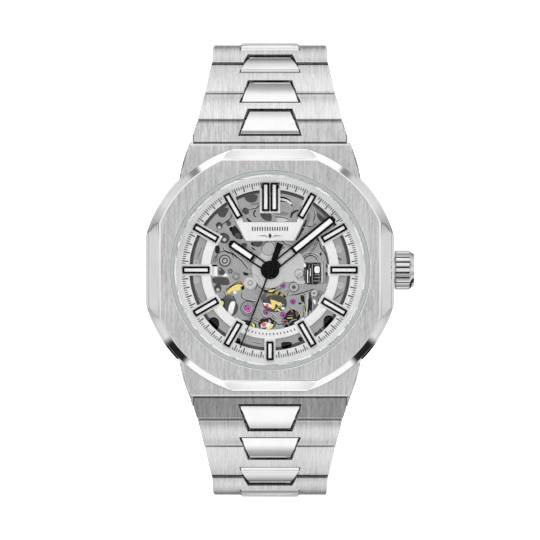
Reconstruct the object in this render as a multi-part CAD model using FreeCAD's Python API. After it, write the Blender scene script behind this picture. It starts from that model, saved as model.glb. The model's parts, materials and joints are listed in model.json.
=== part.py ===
import FreeCAD, Part
import math
import os

# Skeleton wristwatch on a closed steel bracelet.  Everything is drawn with the
# watch lying on its back: X towards 3 o'clock, Y towards 12 o'clock, Z from the
# case back up to the crystal.  save() then stands it up, so that in the files
# +X is 3 o'clock, +Z is 12 o'clock and the dial faces -Y.  Millimetres.

os.makedirs("parts", exist_ok=True)
V = FreeCAD.Vector

# ---------------------------------------------------------------- dimensions
CASE_HALF_WIDTH = 20.0      # flat flanks at 3 and 9 o'clock
CASE_ROUND_R = 20.74
CASE_Z = (0.6, 8.2)
CASE_END_Y = 20.42          # where the end links meet the case
CASE_END_HALF = 12.95
CASE_BORE_R = 15.4
EAR_INNER_X = 12.35
EAR_TIP_Y = 21.95

BEZEL_Z = (8.2, 9.0, 10.4)  # seat, start of the bevel, top
BEZEL_BASE = (20.36, 19.55)  # radius of the round, distance of the flats
BEZEL_TOP = (19.25, 17.68)
BEZEL_OPENING_R = 16.0
CRYSTAL_R = 15.4
CRYSTAL_Z = (9.2, 10.75)
REHAUT_R = 15.1

BACK_R = 16.6
BACK_Z = (0.0, 1.5)
BACK_WINDOW_R = 11.8
BACK_GLASS_R = 12.55

DIAL_Z = (7.5, 7.9)
DIAL_OUTER = (15.3, 13.0)   # outer and inner radius of the minute ring
DIAL_INNER = (11.1, 9.6)
PLATFORM_W = 1.8
MARKER_W, MARKER_L, MARKER_R = 1.17, 4.4, 14.1
MARKER_LINE = 0.25
MARKER_H = 0.25

HOUR_ANGLE, MINUTE_ANGLE, SECOND_ANGLE = 304.3, 50.9, 201.0

MOVEMENT_R = 12.9
PLATE_Z = (6.0, 7.2)
BRIDGE_Z = (2.75, 3.3)
PIVOT_R, PIVOT_HOLE_R = 0.10, 0.13

# axes of the going train (x, y)
THIRD_AT = (2.02, -2.42)
FOURTH_AT = (3.69, -5.09)
ESCAPE_AT = (2.07, -7.15)
PALLET_AT = (-0.67, -6.73)
BALANCE_AT = (-3.59, -6.14)
BARREL_AT = (-2.75, 5.89)
MINUTE_WHEEL_AT = (2.9, 0.78)
BALANCE_R = 4.7
PILLARS = ((9.4, -6.0), (8.4, 7.6), (-10.6, 2.5), (-1.0, -11.7))
COCK_PILLAR = (-9.6, -7.0)

STEM_Z = 4.6
CROWN_R = 3.22
CROWN_X = (20.15, 22.65, 23.25)
CROWN_FLUTES = 22

# bracelet: tilt of each link from the dial plane, pitch and half widths
END_TILT = 22.0
LINK_TILTS = (40.0, 41.0, 62.0, 86.0, 108.0, 128.0, 146.0, 163.0)
LINK_PITCHES = (6.3,) + (6.8,) * 7
LINK_HALF = (11.7, 10.6, 9.52, 9.3, 9.2, 9.1, 9.0, 8.95, 8.9)
END_TOP = (20.47, 7.95)     # (y, z) of the end link's inner top edge
END_GAP_Y = 24.05           # y of the first gap on the outer surface
LINK_TOP, LINK_BOTTOM = 0.95, -1.75   # outer and inner face from the hinge axis
LINK_DOME = 0.16
EDGE_OUT, EDGE_IN = 1.05, 1.22        # link edges, from the hinge axis
CENTRE_WIDE, CENTRE_NARROW = 4.875, 3.5
CENTRE_IN, CENTRE_OUT = -1.30, 3.65
CENTRE_TOP = 1.08
KNUCKLE_R, NOTCH_R = 1.70, 1.78
NOTCH_GAP = 0.12
PIN_R, PIN_HOLE_R = 0.40, 0.43

CLASP_HALF = 8.9
CLASP_OVERHANG = 1.3
COVER_N = (0.42, 1.30)
COVER_WALL = (8.2, -1.0)
BLADE_A_N = (-0.35, 0.30)
BLADE_B_N = (-1.15, -0.50)
BLADE_HALF = 6.6
HINGE_1 = (13.5, -0.25)     # (distance along the clasp from its middle, height)
HINGE_2 = (-14.3, -0.43)
BUTTON_AT = (-3.0, -0.25)
BUTTON_R, BUTTON_HOLE_R = 0.55, 0.60


# ------------------------------------------------------------------- helpers
def disc(r, z0, z1, x=0.0, y=0.0):
    return Part.makeCylinder(r, z1 - z0, V(x, y, z0))


def ring(r_out, r_in, z0, z1, x=0.0, y=0.0):
    return disc(r_out, z0, z1, x, y).cut(disc(r_in, z0 - 1, z1 + 1, x, y))


def box(x0, x1, y0, y1, z0, z1):
    return Part.makeBox(x1 - x0, y1 - y0, z1 - z0, V(x0, y0, z0))


def plate(points, z0, z1):
    wire = Part.makePolygon([V(x, y, z0) for x, y in points] + [V(*points[0], z0)])
    return Part.Face(wire).extrude(V(0, 0, z1 - z0))


def side_plate(points, x0, x1):
    """A prism along X from a profile of (y, z) points."""
    wire = Part.makePolygon([V(x0, *p) for p in points] + [V(x0, *points[0])])
    return Part.Face(wire).extrude(V(x1 - x0, 0, 0))


def rod_x(r, x0, x1, y=0.0, z=0.0):
    return Part.makeCylinder(r, x1 - x0, V(x0, y, z), V(1, 0, 0))


def turned(shape, degrees, x=0.0, y=0.0):
    """Turned clockwise as seen from the dial side, like a hand."""
    out = shape.copy()
    out.rotate(V(x, y, 0), V(0, 0, 1), -degrees)
    return out


def clock(radius, degrees):
    a = math.radians(degrees)
    return radius * math.sin(a), radius * math.cos(a)


def radial_bar(r0, r1, width, z0, z1, degrees, offset=0.0):
    bar = box(offset - width / 2, offset + width / 2, r0, r1, z0, z1)
    return turned(bar, degrees)


def joined(shapes):
    """One solid from touching shapes."""
    out = shapes[0]
    if len(shapes) > 1:
        out = out.fuse(shapes[1:]).removeSplitter()
    return out


def without(shape, cutters):
    return shape.cut(list(cutters))


def sector(r_out, r_in, a0, a1, z0, z1):
    """Part of a ring between two clock angles."""
    steps = max(2, int((a1 - a0) / 30) + 1)
    far = r_out * 1.6
    fan = [(0, 0)] + [clock(far, a0 + (a1 - a0) * i / steps) for i in range(steps + 1)]
    return ring(r_out, r_in, z0, z1).common(plate(fan, z0 - 1, z1 + 1))


def gear(teeth, pitch_r, z0, z1, at=(0.0, 0.0), phase=0.0, bore=0.0, spokes=0):
    """Spur gear with slightly thin teeth, so that a pair runs with backlash."""
    m = 2.0 * pitch_r / teeth
    root, tip = pitch_r - 1.15 * m, pitch_r + 0.85 * m
    step = 360.0 / teeth
    points = []
    for i in range(teeth):
        a = phase + i * step
        for da, r in ((-0.30, root), (-0.20, pitch_r), (-0.09, tip),
                      (0.09, tip), (0.20, pitch_r), (0.30, root)):
            x, y = clock(r, a + da * step)
            points.append((at[0] + x, at[1] + y))
    body = plate(points, z0, z1)
    cuts = []
    if bore:
        cuts.append(disc(bore, z0 - 1, z1 + 1, *at))
    if spokes:
        outer, inner = root - 0.22 * pitch_r, 0.30 * pitch_r
        gap = ring(outer, inner, z0 - 1, z1 + 1)
        arms = [radial_bar(0, outer + 1, 0.17 * pitch_r, z0 - 2, z1 + 2, 360.0 * i / spokes)
                for i in range(spokes)]
        gap = without(gap, arms)
        gap.translate(V(at[0], at[1], 0))
        cuts.append(gap)
    return without(body, cuts) if cuts else body


def mesh_phase(driver_at, driven_at, driver_teeth, driver_phase, driven_teeth):
    """Phase that puts a gap of the driven gear opposite a tooth of the driver."""
    line = math.degrees(math.atan2(driven_at[0] - driver_at[0], driven_at[1] - driver_at[1]))
    lead = (line - driver_phase) / (360.0 / driver_teeth)
    return line + 180.0 + (lead + 0.5) * 360.0 / driven_teeth


def save(name, *shapes):
    """Stand the piece up and write it; several shapes become a group."""
    solids = [s for shape in shapes for s in shape.Solids]
    out = solids[0] if len(solids) == 1 else Part.makeCompound(solids)
    out = out.copy()
    out.rotate(V(0, 0, 0), V(1, 0, 0), 90)
    out.exportStep("parts/%s.step" % name)


def wheel_distance(a, b=(0.0, 0.0)):
    return math.hypot(a[0] - b[0], a[1] - b[1])


# ----------------------------------------------------------------- the case
def case_outline(z):
    """Closed wire of the case plan: flat sides, round shoulders, curved flanks."""
    shoulder = 14.62
    flat = math.sqrt(CASE_ROUND_R ** 2 - CASE_HALF_WIDTH ** 2)
    low = math.sqrt(CASE_ROUND_R ** 2 - shoulder ** 2)
    mid = CASE_ROUND_R * math.cos(math.radians(30)), CASE_ROUND_R * math.sin(math.radians(30))
    quarter = [
        ((CASE_HALF_WIDTH, flat), mid, (shoulder, low)),
        ((shoulder, low), (13.95, 17.65), (CASE_END_HALF, CASE_END_Y)),
    ]
    edges = []
    for sx, sy in ((1, 1), (-1, 1), (-1, -1), (1, -1)):
        for arc in quarter:
            edges.append(Part.Arc(*[V(sx * x, sy * y, z) for x, y in arc]).toShape())
    for s in (1, -1):
        edges.append(Part.makeLine(V(s * CASE_HALF_WIDTH, -flat, z), V(s * CASE_HALF_WIDTH, flat, z)))
        edges.append(Part.makeLine(V(-CASE_END_HALF, s * CASE_END_Y, z),
                                   V(CASE_END_HALF, s * CASE_END_Y, z)))
    return Part.Wire(Part.__sortEdges__(edges))


def case_middle():
    z0, z1 = CASE_Z
    edge = 0.35
    levels = ((z0, edge), (z0 + edge, 0), (z1 - edge, 0), (z1, edge))
    wires = [case_outline(z).makeOffset2D(-inset, 2) if inset else case_outline(z)
             for z, inset in levels]
    body = joined([Part.makeLoft(wires[i:i + 2], True, True) for i in range(3)])
    # ears beside the end links
    ear = plate([(EAR_INNER_X, 19.5), (13.2, 19.5), (CASE_END_HALF, CASE_END_Y),
                 (EAR_INNER_X + 0.12, EAR_TIP_Y), (EAR_INNER_X, EAR_TIP_Y)], 0, 9)
    ear = ear.common(side_plate([(19.4, 1.0), (19.4, 8.2), (20.42, 8.0), (21.95, 7.35),
                                 (21.95, 4.0), (21.2, 2.2), (20.4, 1.0)], 0, 20))
    ears = [ear, ear.mirror(V(0, 0, 0), V(1, 0, 0))]
    ears += [e.mirror(V(0, 0, 0), V(0, 1, 0)) for e in ears]
    # undercut below the lip at each end
    cut = side_plate([(20.43, 8.05), (19.65, 6.6), (18.4, 5.8), (18.4, 0.0), (20.6, 0.0),
                      (20.6, 8.05)], -EAR_INNER_X, EAR_INNER_X)
    cuts = [cut, cut.mirror(V(0, 0, 0), V(0, 1, 0)),
            disc(CASE_BORE_R, 0, 9), disc(BACK_R + 0.1, 0, BACK_Z[1]),
            rod_x(1.5, 14, 21, 0, STEM_Z)]
    cuts += [rod_x(0.42, -14, 14, s * 21.1, 4.1) for s in (1, -1)]
    return without(joined([body] + ears), cuts)


def bezel():
    z0, z1, z2 = BEZEL_Z

    def square(half, z):
        return Part.makePolygon([V(x * half, y * half, z) for x, y in
                                 ((1, 1), (-1, 1), (-1, -1), (1, -1), (1, 1))])

    base = disc(BEZEL_BASE[0], z0, z1).common(
        box(-BEZEL_BASE[1], BEZEL_BASE[1], -BEZEL_BASE[1], BEZEL_BASE[1], z0, z1))
    cone = Part.makeCone(BEZEL_BASE[0], BEZEL_TOP[0], z2 - z1, V(0, 0, z1))
    facets = Part.makeLoft([square(BEZEL_BASE[1], z1), square(BEZEL_TOP[1], z2)], True, True)
    body = joined([base, cone.common(facets)])
    return without(body, [disc(CRYSTAL_R, z0 - 1, z2 + 1),
                          disc(BEZEL_OPENING_R, CRYSTAL_Z[0], z2 + 1)])


def crystal():
    glass = disc(CRYSTAL_R - 0.02, *CRYSTAL_Z)
    rim = [e for e in glass.Edges if e.Curve.TypeId == "Part::GeomCircle"
           and e.CenterOfMass.z > CRYSTAL_Z[1] - 0.01]
    return glass.makeChamfer(0.2, rim)


def case_back():
    body = joined([ring(BACK_R, BACK_WINDOW_R, BACK_Z[0], 0.5),
                   ring(BACK_R, BACK_GLASS_R, 0.5, BACK_Z[1]),
                   ring(15.3, 13.4, BACK_Z[1], 3.0)])
    notches = [turned(box(-1.1, 1.1, BACK_R - 1.0, BACK_R + 1, -1, 0.35), 60.0 * i + 30)
               for i in range(6)]
    return without(body, notches)


# ------------------------------------------------------------------ the dial
def top_plate_outline():
    return [(-3.9, 4.7), (3.9, 4.7), (7.6, 12.1), (5.9, 12.9), (4.3, 7.7),
            (-4.3, 7.7), (-5.9, 12.9), (-7.6, 12.1)]


def dial():
    z0, z1 = DIAL_Z
    pieces = [ring(DIAL_OUTER[0], DIAL_OUTER[1], z0, z1),
              sector(DIAL_INNER[0], DIAL_INNER[1], 60.0, 300.0, z0, z1),
              plate(top_plate_outline(), z0, z1),
              radial_bar(9.14, 13.4, 3.3, z0, z1, 0.0)]
    for hour in range(2, 11):
        inner = 10.3 if hour == 6 else 9.3
        pieces.append(radial_bar(inner, 13.4, PLATFORM_W, z0, z1, 30.0 * hour))
    return joined(pieces)


def marker(width, length, r_tip, angle, offset=0.0):
    """Black frame with a pale filling, as two solids."""
    z = DIAL_Z[1]
    block = radial_bar(r_tip - length, r_tip, width, z, z + MARKER_H, angle, offset)
    well = radial_bar(r_tip - length + MARKER_LINE, r_tip - MARKER_LINE,
                      width - 2 * MARKER_LINE, z + 0.06, z + 1, angle, offset)
    fill = radial_bar(r_tip - length + MARKER_LINE, r_tip - MARKER_LINE,
                      width - 2 * MARKER_LINE, z + 0.06, z + MARKER_H - 0.05, angle, offset)
    return [block.cut(well), fill]


def hour_markers():
    out = []
    for hour in range(12):
        angle = 30.0 * hour
        if hour == 0:
            for side in (-1, 1):
                out += marker(1.2, 4.58, 14.04, angle, side * 0.69)
        elif hour == 6:
            out += marker(MARKER_W, 3.0, 14.5, angle)
        else:
            out += marker(MARKER_W, MARKER_L, MARKER_R, angle)
    return out


# ----------------------------------------------------------------- the hands
def baton_hand(length, width, z0, z1, lume_from, window, hub_r, bore, angle):
    """Frame-shaped hand: open window near the hub and a pale filling outside it."""
    half = width / 2
    tip = length - half * 0.62
    outline = [(-half, 0), (-half, tip), (-half * 0.45, length), (half * 0.45, length),
               (half, tip), (half, 0)]
    body = joined([plate(outline, z0, z1), disc(hub_r, z0, z1)])
    line = 0.27
    well = box(-half + line, half - line, lume_from, tip - 0.12, z0 - 1, z1 + 1)
    gap = box(-half + line, half - line, window[0], window[1], z0 - 1, z1 + 1)
    fill = box(-half + line, half - line, lume_from, tip - 0.12, z0, z1 - 0.04)
    body = without(body, [well, gap, disc(bore, z0 - 1, z1 + 1)])
    return [turned(body, angle), turned(fill, angle)]


def seconds_hand():
    z0, z1 = 8.80, 8.92
    needle = plate([(-0.14, -1.0), (-0.10, 13.4), (0.10, 13.4), (0.14, -1.0)], z0, z1)
    weight = plate([(-0.32, 0), (-0.55, -4.6), (0.55, -4.6), (0.32, 0)], z0, z1)
    pipe = disc(0.34, 8.70, z0)
    return turned(joined([needle, weight, disc(0.85, z0, z1), pipe]), SECOND_ANGLE)


# -------------------------------------------------------------- the movement
def slot(x0, y0, x1, y1, width):
    """Round-ended cutter between two points, through the main plate."""
    z0, z1 = PLATE_Z[0] - 1, PLATE_Z[1] + 1
    length = math.hypot(x1 - x0, y1 - y0)
    bar = box(-width / 2, width / 2, 0, length, z0, z1)
    bar = turned(bar, math.degrees(math.atan2(x1 - x0, y1 - y0)))
    bar.translate(V(x0, y0, 0))
    return joined([bar, disc(width / 2, z0, z1, x0, y0), disc(width / 2, z0, z1, x1, y1)])


def hole(x, y, r):
    return disc(r, PLATE_Z[0] - 1, PLATE_Z[1] + 1, x, y)


def oval(x, y, half_x, half_y):
    z0, z1 = PLATE_Z[0] - 1, PLATE_Z[1] + 1
    wire = Part.Wire(Part.Ellipse(V(x, y, z0), half_x, half_y).toShape())
    return Part.Face(wire).extrude(V(0, 0, z1 - z0))


def main_plate():
    """Pierced plate: every opening seen between the dial's rings goes through it."""
    z0, z1 = PLATE_Z
    windows = [
        # balance and escapement
        oval(0.55, -4.55, 2.05, 1.25), slot(-0.9, -8.7, 0.0, -8.5, 2.0),
        slot(3.0, -8.3, 3.7, -7.5, 2.3), slot(-6.9, -6.4, -6.6, -5.1, 2.3),
        slot(-6.6, -3.3, -4.9, -2.2, 1.0), slot(-5.2, -9.0, -3.9, -9.1, 0.7),
        # train and arched slot above the third wheel
        slot(-0.9, -3.2, 0.6, -2.6, 0.8), slot(6.0, -6.3, 6.6, -4.9, 0.9),
        # keyless works and setting lever
        box(5.3, 8.1, -2.2, 1.2, z0 - 1, z1 + 1), slot(6.9, -3.6, 6.9, -5.1, 0.9),
        # left side
        box(-9.6, -8.5, -0.85, 0.85, z0 - 1, z1 + 1),
        hole(-8.4, -2.9, 0.6), slot(-9.6, 3.1, -8.9, 4.6, 0.7),
        # upper half
        hole(-3.96, 9.54, 0.5), hole(-8.2, 7.2, 0.5), hole(-6.7, 7.6, 0.35),
        hole(-7.5, 5.2, 0.8), hole(-4.2, 3.96, 0.4), slot(-6.2, 6.6, -5.2, 5.5, 0.7),
        slot(0.4, 5.0, 1.2, 4.6, 1.0), slot(-2.6, 4.3, -1.6, 4.6, 0.9),
        slot(5.6, 8.6, 7.0, 7.6, 0.9), slot(7.6, 5.6, 8.4, 4.4, 0.8),
        slot(5.0, 4.4, 6.3, 3.6, 0.7),
        # toothed opening by the winding wheels
        gear(18, 1.5, z0 - 1, z1 + 1, (2.4, 10.5)),
        # rim, seen between the two rings of the dial
        hole(9.5, -8.2, 0.9), hole(-9.1, -8.5, 0.9), slot(2.2, -12.0, 3.2, -12.0, 0.8),
        hole(-5.1, -11.3, 0.35), hole(5.6, -10.7, 0.35),
    ]
    pockets = [disc(2.66, z0 + 0.27, z1 + 1), disc(2.52, z0 + 0.27, z1 + 1, *MINUTE_WHEEL_AT),
               disc(0.45, z0 - 1, z1 + 1)]
    seats = [disc(0.45, z0 - 1, z1 + 1, *at)
             for at in (THIRD_AT, FOURTH_AT, ESCAPE_AT, PALLET_AT)]
    seats += [disc(0.93, z0 - 1, z1 + 1, *BALANCE_AT), disc(0.75, z0 - 1, z1 + 1, *BARREL_AT)]
    screws = [disc(r, z1 - 0.45, z1 + 1, x, y) for x, y, r in PLATE_SCREWS]
    plate_body = without(disc(MOVEMENT_R, z0, z1), windows + pockets + seats + screws)
    post = disc(0.17, z0 + 0.2, z0 + 0.95, *MINUTE_WHEEL_AT)
    return joined([plate_body, post])


PLATE_SCREWS = ((-7.2, 1.6, 0.95), (-5.6, -0.9, 0.5), (11.0, 3.4, 0.62), (11.4, -2.5, 0.6),
                (3.8, -2.68, 0.75), (-11.9, -1.6, 0.6), (5.4, 10.7, 0.55))
COVER_SCREWS = ((-0.26, 3.43, 0.75), (4.9, -1.15, 0.62))


def screw(x, y, r, z_top, depth=0.45, down=False):
    """Slotted head filling a counterbore; the slot is on the visible side."""
    if down:
        head = disc(r, z_top, z_top + depth, x, y)
        cut = box(x - r - 1, x + r + 1, y - 0.11, y + 0.11, z_top - 1, z_top + 0.15)
    else:
        head = disc(r, z_top - depth, z_top, x, y)
        cut = box(x - r - 1, x + r + 1, y - 0.11, y + 0.11, z_top - 0.15, z_top + 1)
    return head.cut(turned(cut, 40.0 * x + 25.0 * y, x, y))


def motion_cover():
    """Thin cover over the motion work, reaching to its two screws."""
    z0 = PLATE_Z[1]
    body = joined([disc(2.95, z0, z0 + 0.2), disc(2.75, z0, z0 + 0.2, *MINUTE_WHEEL_AT),
                   plate([(-1.5, 2.0), (-1.35, 3.5), (-0.5, 4.5), (0.2, 4.5), (2.6, 2.0)],
                         z0, z0 + 0.2),
                   disc(1.2, z0, z0 + 0.2, 4.9, -1.15)])
    return without(body, [disc(0.85, z0 - 1, z0 + 1)]
                   + [disc(r, z0 - 1, z0 + 1, x, y) for x, y, r in COVER_SCREWS])


def train_bridge():
    z0, z1 = BRIDGE_Z
    body = disc(MOVEMENT_R, z0, z1)
    cuts = [disc(BALANCE_R + 0.55, z0 - 1, z1 + 1, *BALANCE_AT),
            sector(MOVEMENT_R + 1, 5.5, 196.0, 252.0, z0 - 1, z1 + 1)]
    cuts += [disc(PIVOT_HOLE_R, z0 - 1, z1 + 1, *at)
             for at in ((0, 0), THIRD_AT, FOURTH_AT, ESCAPE_AT)]
    cuts += [disc(0.55, z0 - 1, z1 + 1, *BARREL_AT)]
    cuts += [radial_bar(6.2, 10.8, 2.6, z0 - 1, z1 + 1, a) for a in (30.0, 70.0, 108.0, 290.0)]
    cuts += [disc(1.0, z0 - 1, z1 + 1, 2.6, 3.2), disc(0.7, z0 - 1, z0 + 0.2, 9.4, -6.0),
             disc(0.7, z0 - 1, z0 + 0.2, 8.4, 7.6), disc(0.7, z0 - 1, z0 + 0.2, -10.6, 2.5)]
    pillars = [disc(0.8, z1 - 0.1, PLATE_Z[0], *at) for at in PILLARS]
    return joined([without(body, cuts)] + pillars)


def balance_cock():
    """Bridge arm under the balance, with its pillar and the hairspring stud."""
    z0, z1 = BRIDGE_Z[0], BRIDGE_Z[1] - 0.1
    ax, ay = COCK_PILLAR
    bx, by = BALANCE_AT
    length = math.hypot(bx - ax, by - ay)
    arm = plate([(-1.6, 0), (-0.9, length), (0.9, length), (1.6, 0)], z0, z1)
    arm = turned(arm, math.degrees(math.atan2(bx - ax, by - ay)))
    arm.translate(V(ax, ay, 0))
    body = joined([arm, disc(1.25, z0, z1, bx, by), disc(1.6, z0, z1, ax, ay),
                   disc(0.8, z1 - 0.1, PLATE_Z[0], ax, ay),
                   disc(0.14, z1 - 0.1, z1 + 0.4, bx - 2.75, by - 0.2)])
    return without(body.common(disc(MOVEMENT_R, z0, PLATE_Z[0])),
                   [disc(PIVOT_HOLE_R + 0.05, z0 - 1, z1 + 1, bx, by),
                    disc(0.7, z0 - 1, z0 + 0.2, ax, ay)])


def jewels():
    z1 = PLATE_Z[1]
    out = [ring(0.45, PIVOT_HOLE_R, z1 - 0.6, z1 - 0.08, *at)
           for at in (THIRD_AT, FOURTH_AT, ESCAPE_AT, PALLET_AT)]
    out.append(ring(0.93, 0.55, z1 - 0.9, z1 + 0.02, *BALANCE_AT))
    out.append(ring(0.55, PIVOT_HOLE_R + 0.05, z1 - 0.7, z1 - 0.25, *BALANCE_AT))
    out.append(ring(0.75, 0.45, z1 - 0.9, z1, *BARREL_AT))
    return out


def movement_screws():
    out = [screw(x, y, r, PLATE_Z[1]) for x, y, r in PLATE_SCREWS]
    out += [screw(x, y, r, PLATE_Z[1] + 0.2, 0.2) for x, y, r in COVER_SCREWS]
    out += [screw(x, y, 0.7, BRIDGE_Z[0], 0.2, down=True)
            for x, y in PILLARS[:3] + (COCK_PILLAR,)]
    return out


def keyless_works():
    """Setting lever, yoke and the bridge block that guides the winding stem."""
    lever = joined([plate([(5.5, -2.9), (6.3, -2.9), (6.6, -1.4), (6.3, 1.2), (5.9, 1.2),
                           (6.0, -1.3)], 5.75, 5.95)])
    block = box(9.3, 11.2, -1.6, 1.6, 3.5, 5.9).cut(rod_x(0.56, 8, 12, 0, STEM_Z))
    yoke = plate([(7.2, -1.9), (7.7, -1.9), (7.9, 0.9), (7.5, 1.2)], 5.82, 5.97)
    return [lever, block, yoke]


def centre_wheel():
    """Minute wheel arbor: tube, cannon pinion, driving wheel and barrel pinion."""
    d3 = wheel_distance(THIRD_AT)
    wheel = gear(48, d3 * 48 / 54.0, 5.15, 5.35, phase=3.0, spokes=5)
    leaf = gear(12, wheel_distance(BARREL_AT) * 12 / 84.0, 5.45, 5.9, phase=0.0)
    cannon = gear(10, 0.75, 6.32, 6.6, phase=0.0)
    tube = disc(0.40, 5.1, 8.66)
    return without(joined([tube, disc(0.62, 5.15, 5.45), wheel, leaf, cannon]),
                   [disc(0.16, 4, 10)])


def hour_wheel():
    tube = ring(0.75, 0.45, 6.72, 8.32)
    return joined([tube, gear(32, 2.4, 6.74, 6.92, phase=2.0, bore=0.45, spokes=4)])


def minute_wheel():
    at = MINUTE_WHEEL_AT
    p1 = mesh_phase((0, 0), at, 10, 0.0, 30)
    p2 = mesh_phase((0, 0), at, 32, 2.0, 8)
    body = joined([gear(30, 2.25, 6.36, 6.54, at, p1), gear(8, 0.60, 6.5, 6.94, at, p2)])
    return body.cut(disc(0.21, 6, 8, *at))


def seconds_pinion():
    d3 = wheel_distance(THIRD_AT)
    pinion = gear(6, d3 * 6 / 51.0, 4.3, 4.85, phase=0.0)
    return joined([disc(0.12, 3.1, 8.92), disc(PIVOT_R, 2.85, 3.2), pinion])


def third_wheel():
    at, d3 = THIRD_AT, wheel_distance(THIRD_AT)
    leaf = gear(6, d3 * 6 / 54.0, 4.9, 5.45, at, mesh_phase((0, 0), at, 48, 3.0, 6))
    wheel = gear(45, d3 * 45 / 51.0, 4.45, 4.65, at,
                 mesh_phase((0, 0), at, 6, 0.0, 45), spokes=5)
    return joined([disc(0.16, 3.4, 5.9, *at), disc(PIVOT_R, 2.85, 7.05, *at), wheel, leaf])


def fourth_wheel():
    at, d = FOURTH_AT, wheel_distance(FOURTH_AT, THIRD_AT)
    third_phase = mesh_phase((0, 0), THIRD_AT, 6, 0.0, 45)
    pinion = gear(6, d * 6 / 51.0, 4.3, 4.85, at, mesh_phase(THIRD_AT, at, 45, third_phase, 6))
    wheel = gear(60, wheel_distance(at, ESCAPE_AT) * 60 / 66.0, 4.0, 4.16, at,
                 FOURTH_PHASE, spokes=5)
    return joined([disc(0.16, 3.4, 5.9, *at), disc(PIVOT_R, 2.85, 7.05, *at), wheel, pinion])


FOURTH_PHASE = 1.5
ESCAPE_R = 2.28


def escape_wheel():
    at = ESCAPE_AT
    pinion = gear(6, wheel_distance(at, FOURTH_AT) * 6 / 66.0, 3.85, 4.3, at,
                  mesh_phase(FOURTH_AT, at, 60, FOURTH_PHASE, 6))
    points = []
    for i in range(15):
        a = 24.0 * i
        for da, r in ((0.0, 1.72), (7.0, ESCAPE_R), (10.0, ESCAPE_R), (11.5, 1.72)):
            x, y = clock(r, a + da)
            points.append((at[0] + x, at[1] + y))
    wheel = plate(points, 5.0, 5.15)
    gap = ring(1.42, 0.5, 4, 6)
    gap = without(gap, [radial_bar(-3, 3, 0.3, 3, 7, a) for a in (0.0, 90.0)])
    gap.translate(V(at[0], at[1], 0))
    wheel = wheel.cut(gap)
    return joined([disc(0.14, 3.4, 5.9, *at), disc(PIVOT_R, 2.85, 7.05, *at), wheel, pinion])


def pallet_fork():
    """Lever with two pallet stones just outside the escape wheel's tips."""
    at = PALLET_AT
    to_escape = math.degrees(math.atan2(ESCAPE_AT[0] - at[0], ESCAPE_AT[1] - at[1]))
    to_balance = math.degrees(math.atan2(BALANCE_AT[0] - at[0], BALANCE_AT[1] - at[1]))
    reach = wheel_distance(at, BALANCE_AT) - 0.66
    lever = joined([disc(0.38, 4.95, 5.15), plate([(-0.16, 0), (-0.16, reach - 0.3),
                    (-0.34, reach), (-0.18, reach), (0, reach - 0.24), (0.18, reach),
                    (0.34, reach), (0.16, reach - 0.3), (0.16, 0)], 4.95, 5.15)])
    lever = turned(lever, to_balance)
    stones, arms = [], []
    for side in (-1, 1):
        tip = clock(ESCAPE_R + 0.30, to_escape + 180.0 + side * 36.0)
        tx = wheel_distance(at, ESCAPE_AT)
        ex, ey = clock(tx, to_escape)
        px, py = ex + tip[0], ey + tip[1]
        stones.append(box(px - 0.13, px + 0.13, py - 0.13, py + 0.13, 4.9, 5.22))
        angle = math.degrees(math.atan2(px, py))
        arms.append(turned(box(-0.09, 0.09, 0, math.hypot(px, py), 4.95, 5.15), angle))
    body = joined([lever] + arms)
    body = without(body, stones)
    arbor = joined([disc(0.14, 4.2, 5.9), disc(PIVOT_R, 4.02, 7.05)])
    body = joined([body, arbor])
    out = [body] + stones
    for piece in out:
        piece.translate(V(at[0], at[1], 0))
    return out


def balance_wheel():
    at = BALANCE_AT
    rim = ring(BALANCE_R, BALANCE_R - 0.5, 3.55, 4.1)
    arms = [radial_bar(0, BALANCE_R - 0.3, 0.55, 3.72, 3.94, 25.0 + 120.0 * i)
            for i in range(3)]
    staff = [disc(0.7, 3.72, 4.2), disc(0.22, 3.2, 6.2), disc(0.12, 2.85, 6.9),
             disc(0.55, 5.3, 5.45), disc(0.08, 4.98, 5.4, 0.38, 0.10)]
    body = joined([rim] + arms + staff)
    body.translate(V(at[0], at[1], 0))
    return body


def hairspring():
    """Flat spiral between the balance and its cock."""
    turns, steps, width = 5, 16, 0.07
    r0, r1 = 0.42, 2.45
    count = turns * steps
    inner, outer = [], []
    for i in range(count + 1):
        r = r0 + (r1 - r0) * i / count
        a = 360.0 * i / steps
        inner.append(clock(r - width / 2, a))
        outer.append(clock(r + width / 2, a))
    body = plate(inner + outer[::-1], 3.36, 3.50)
    body = joined([body, ring(0.46, 0.22, 3.33, 3.53)])
    body.translate(V(BALANCE_AT[0], BALANCE_AT[1], 0))
    return body


def barrel():
    at, d = BARREL_AT, wheel_distance(BARREL_AT)
    wheel = gear(72, d * 72 / 84.0, 5.5, 5.8, at, mesh_phase((0, 0), at, 12, 0.0, 72))
    return joined([disc(4.9, 3.6, 4.95, *at), disc(3.2, 4.9, 5.6, *at), wheel,
                   disc(0.42, 2.9, 6.9, *at)])


def rotor():
    """Half-round winding weight on a ball bearing, hanging towards 6 o'clock."""
    web = [sector(12.6, 10.2, 92.0, 268.0, 1.95, 2.3), ring(2.1, 1.25, 1.95, 2.3)]
    web += [radial_bar(1.6, 10.6, 1.4, 1.95, 2.3, a) for a in (102.0, 180.0, 258.0)]
    weight = sector(12.6, 10.9, 92.0, 268.0, 1.7, 2.55)
    return joined(web + [weight])


def rotor_bearing():
    post = joined([disc(1.2, 1.75, BRIDGE_Z[0]), disc(1.5, 2.4, BRIDGE_Z[0])])
    return post.cut(box(-2, 2, -0.14, 0.14, 1.5, 1.95))


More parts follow.
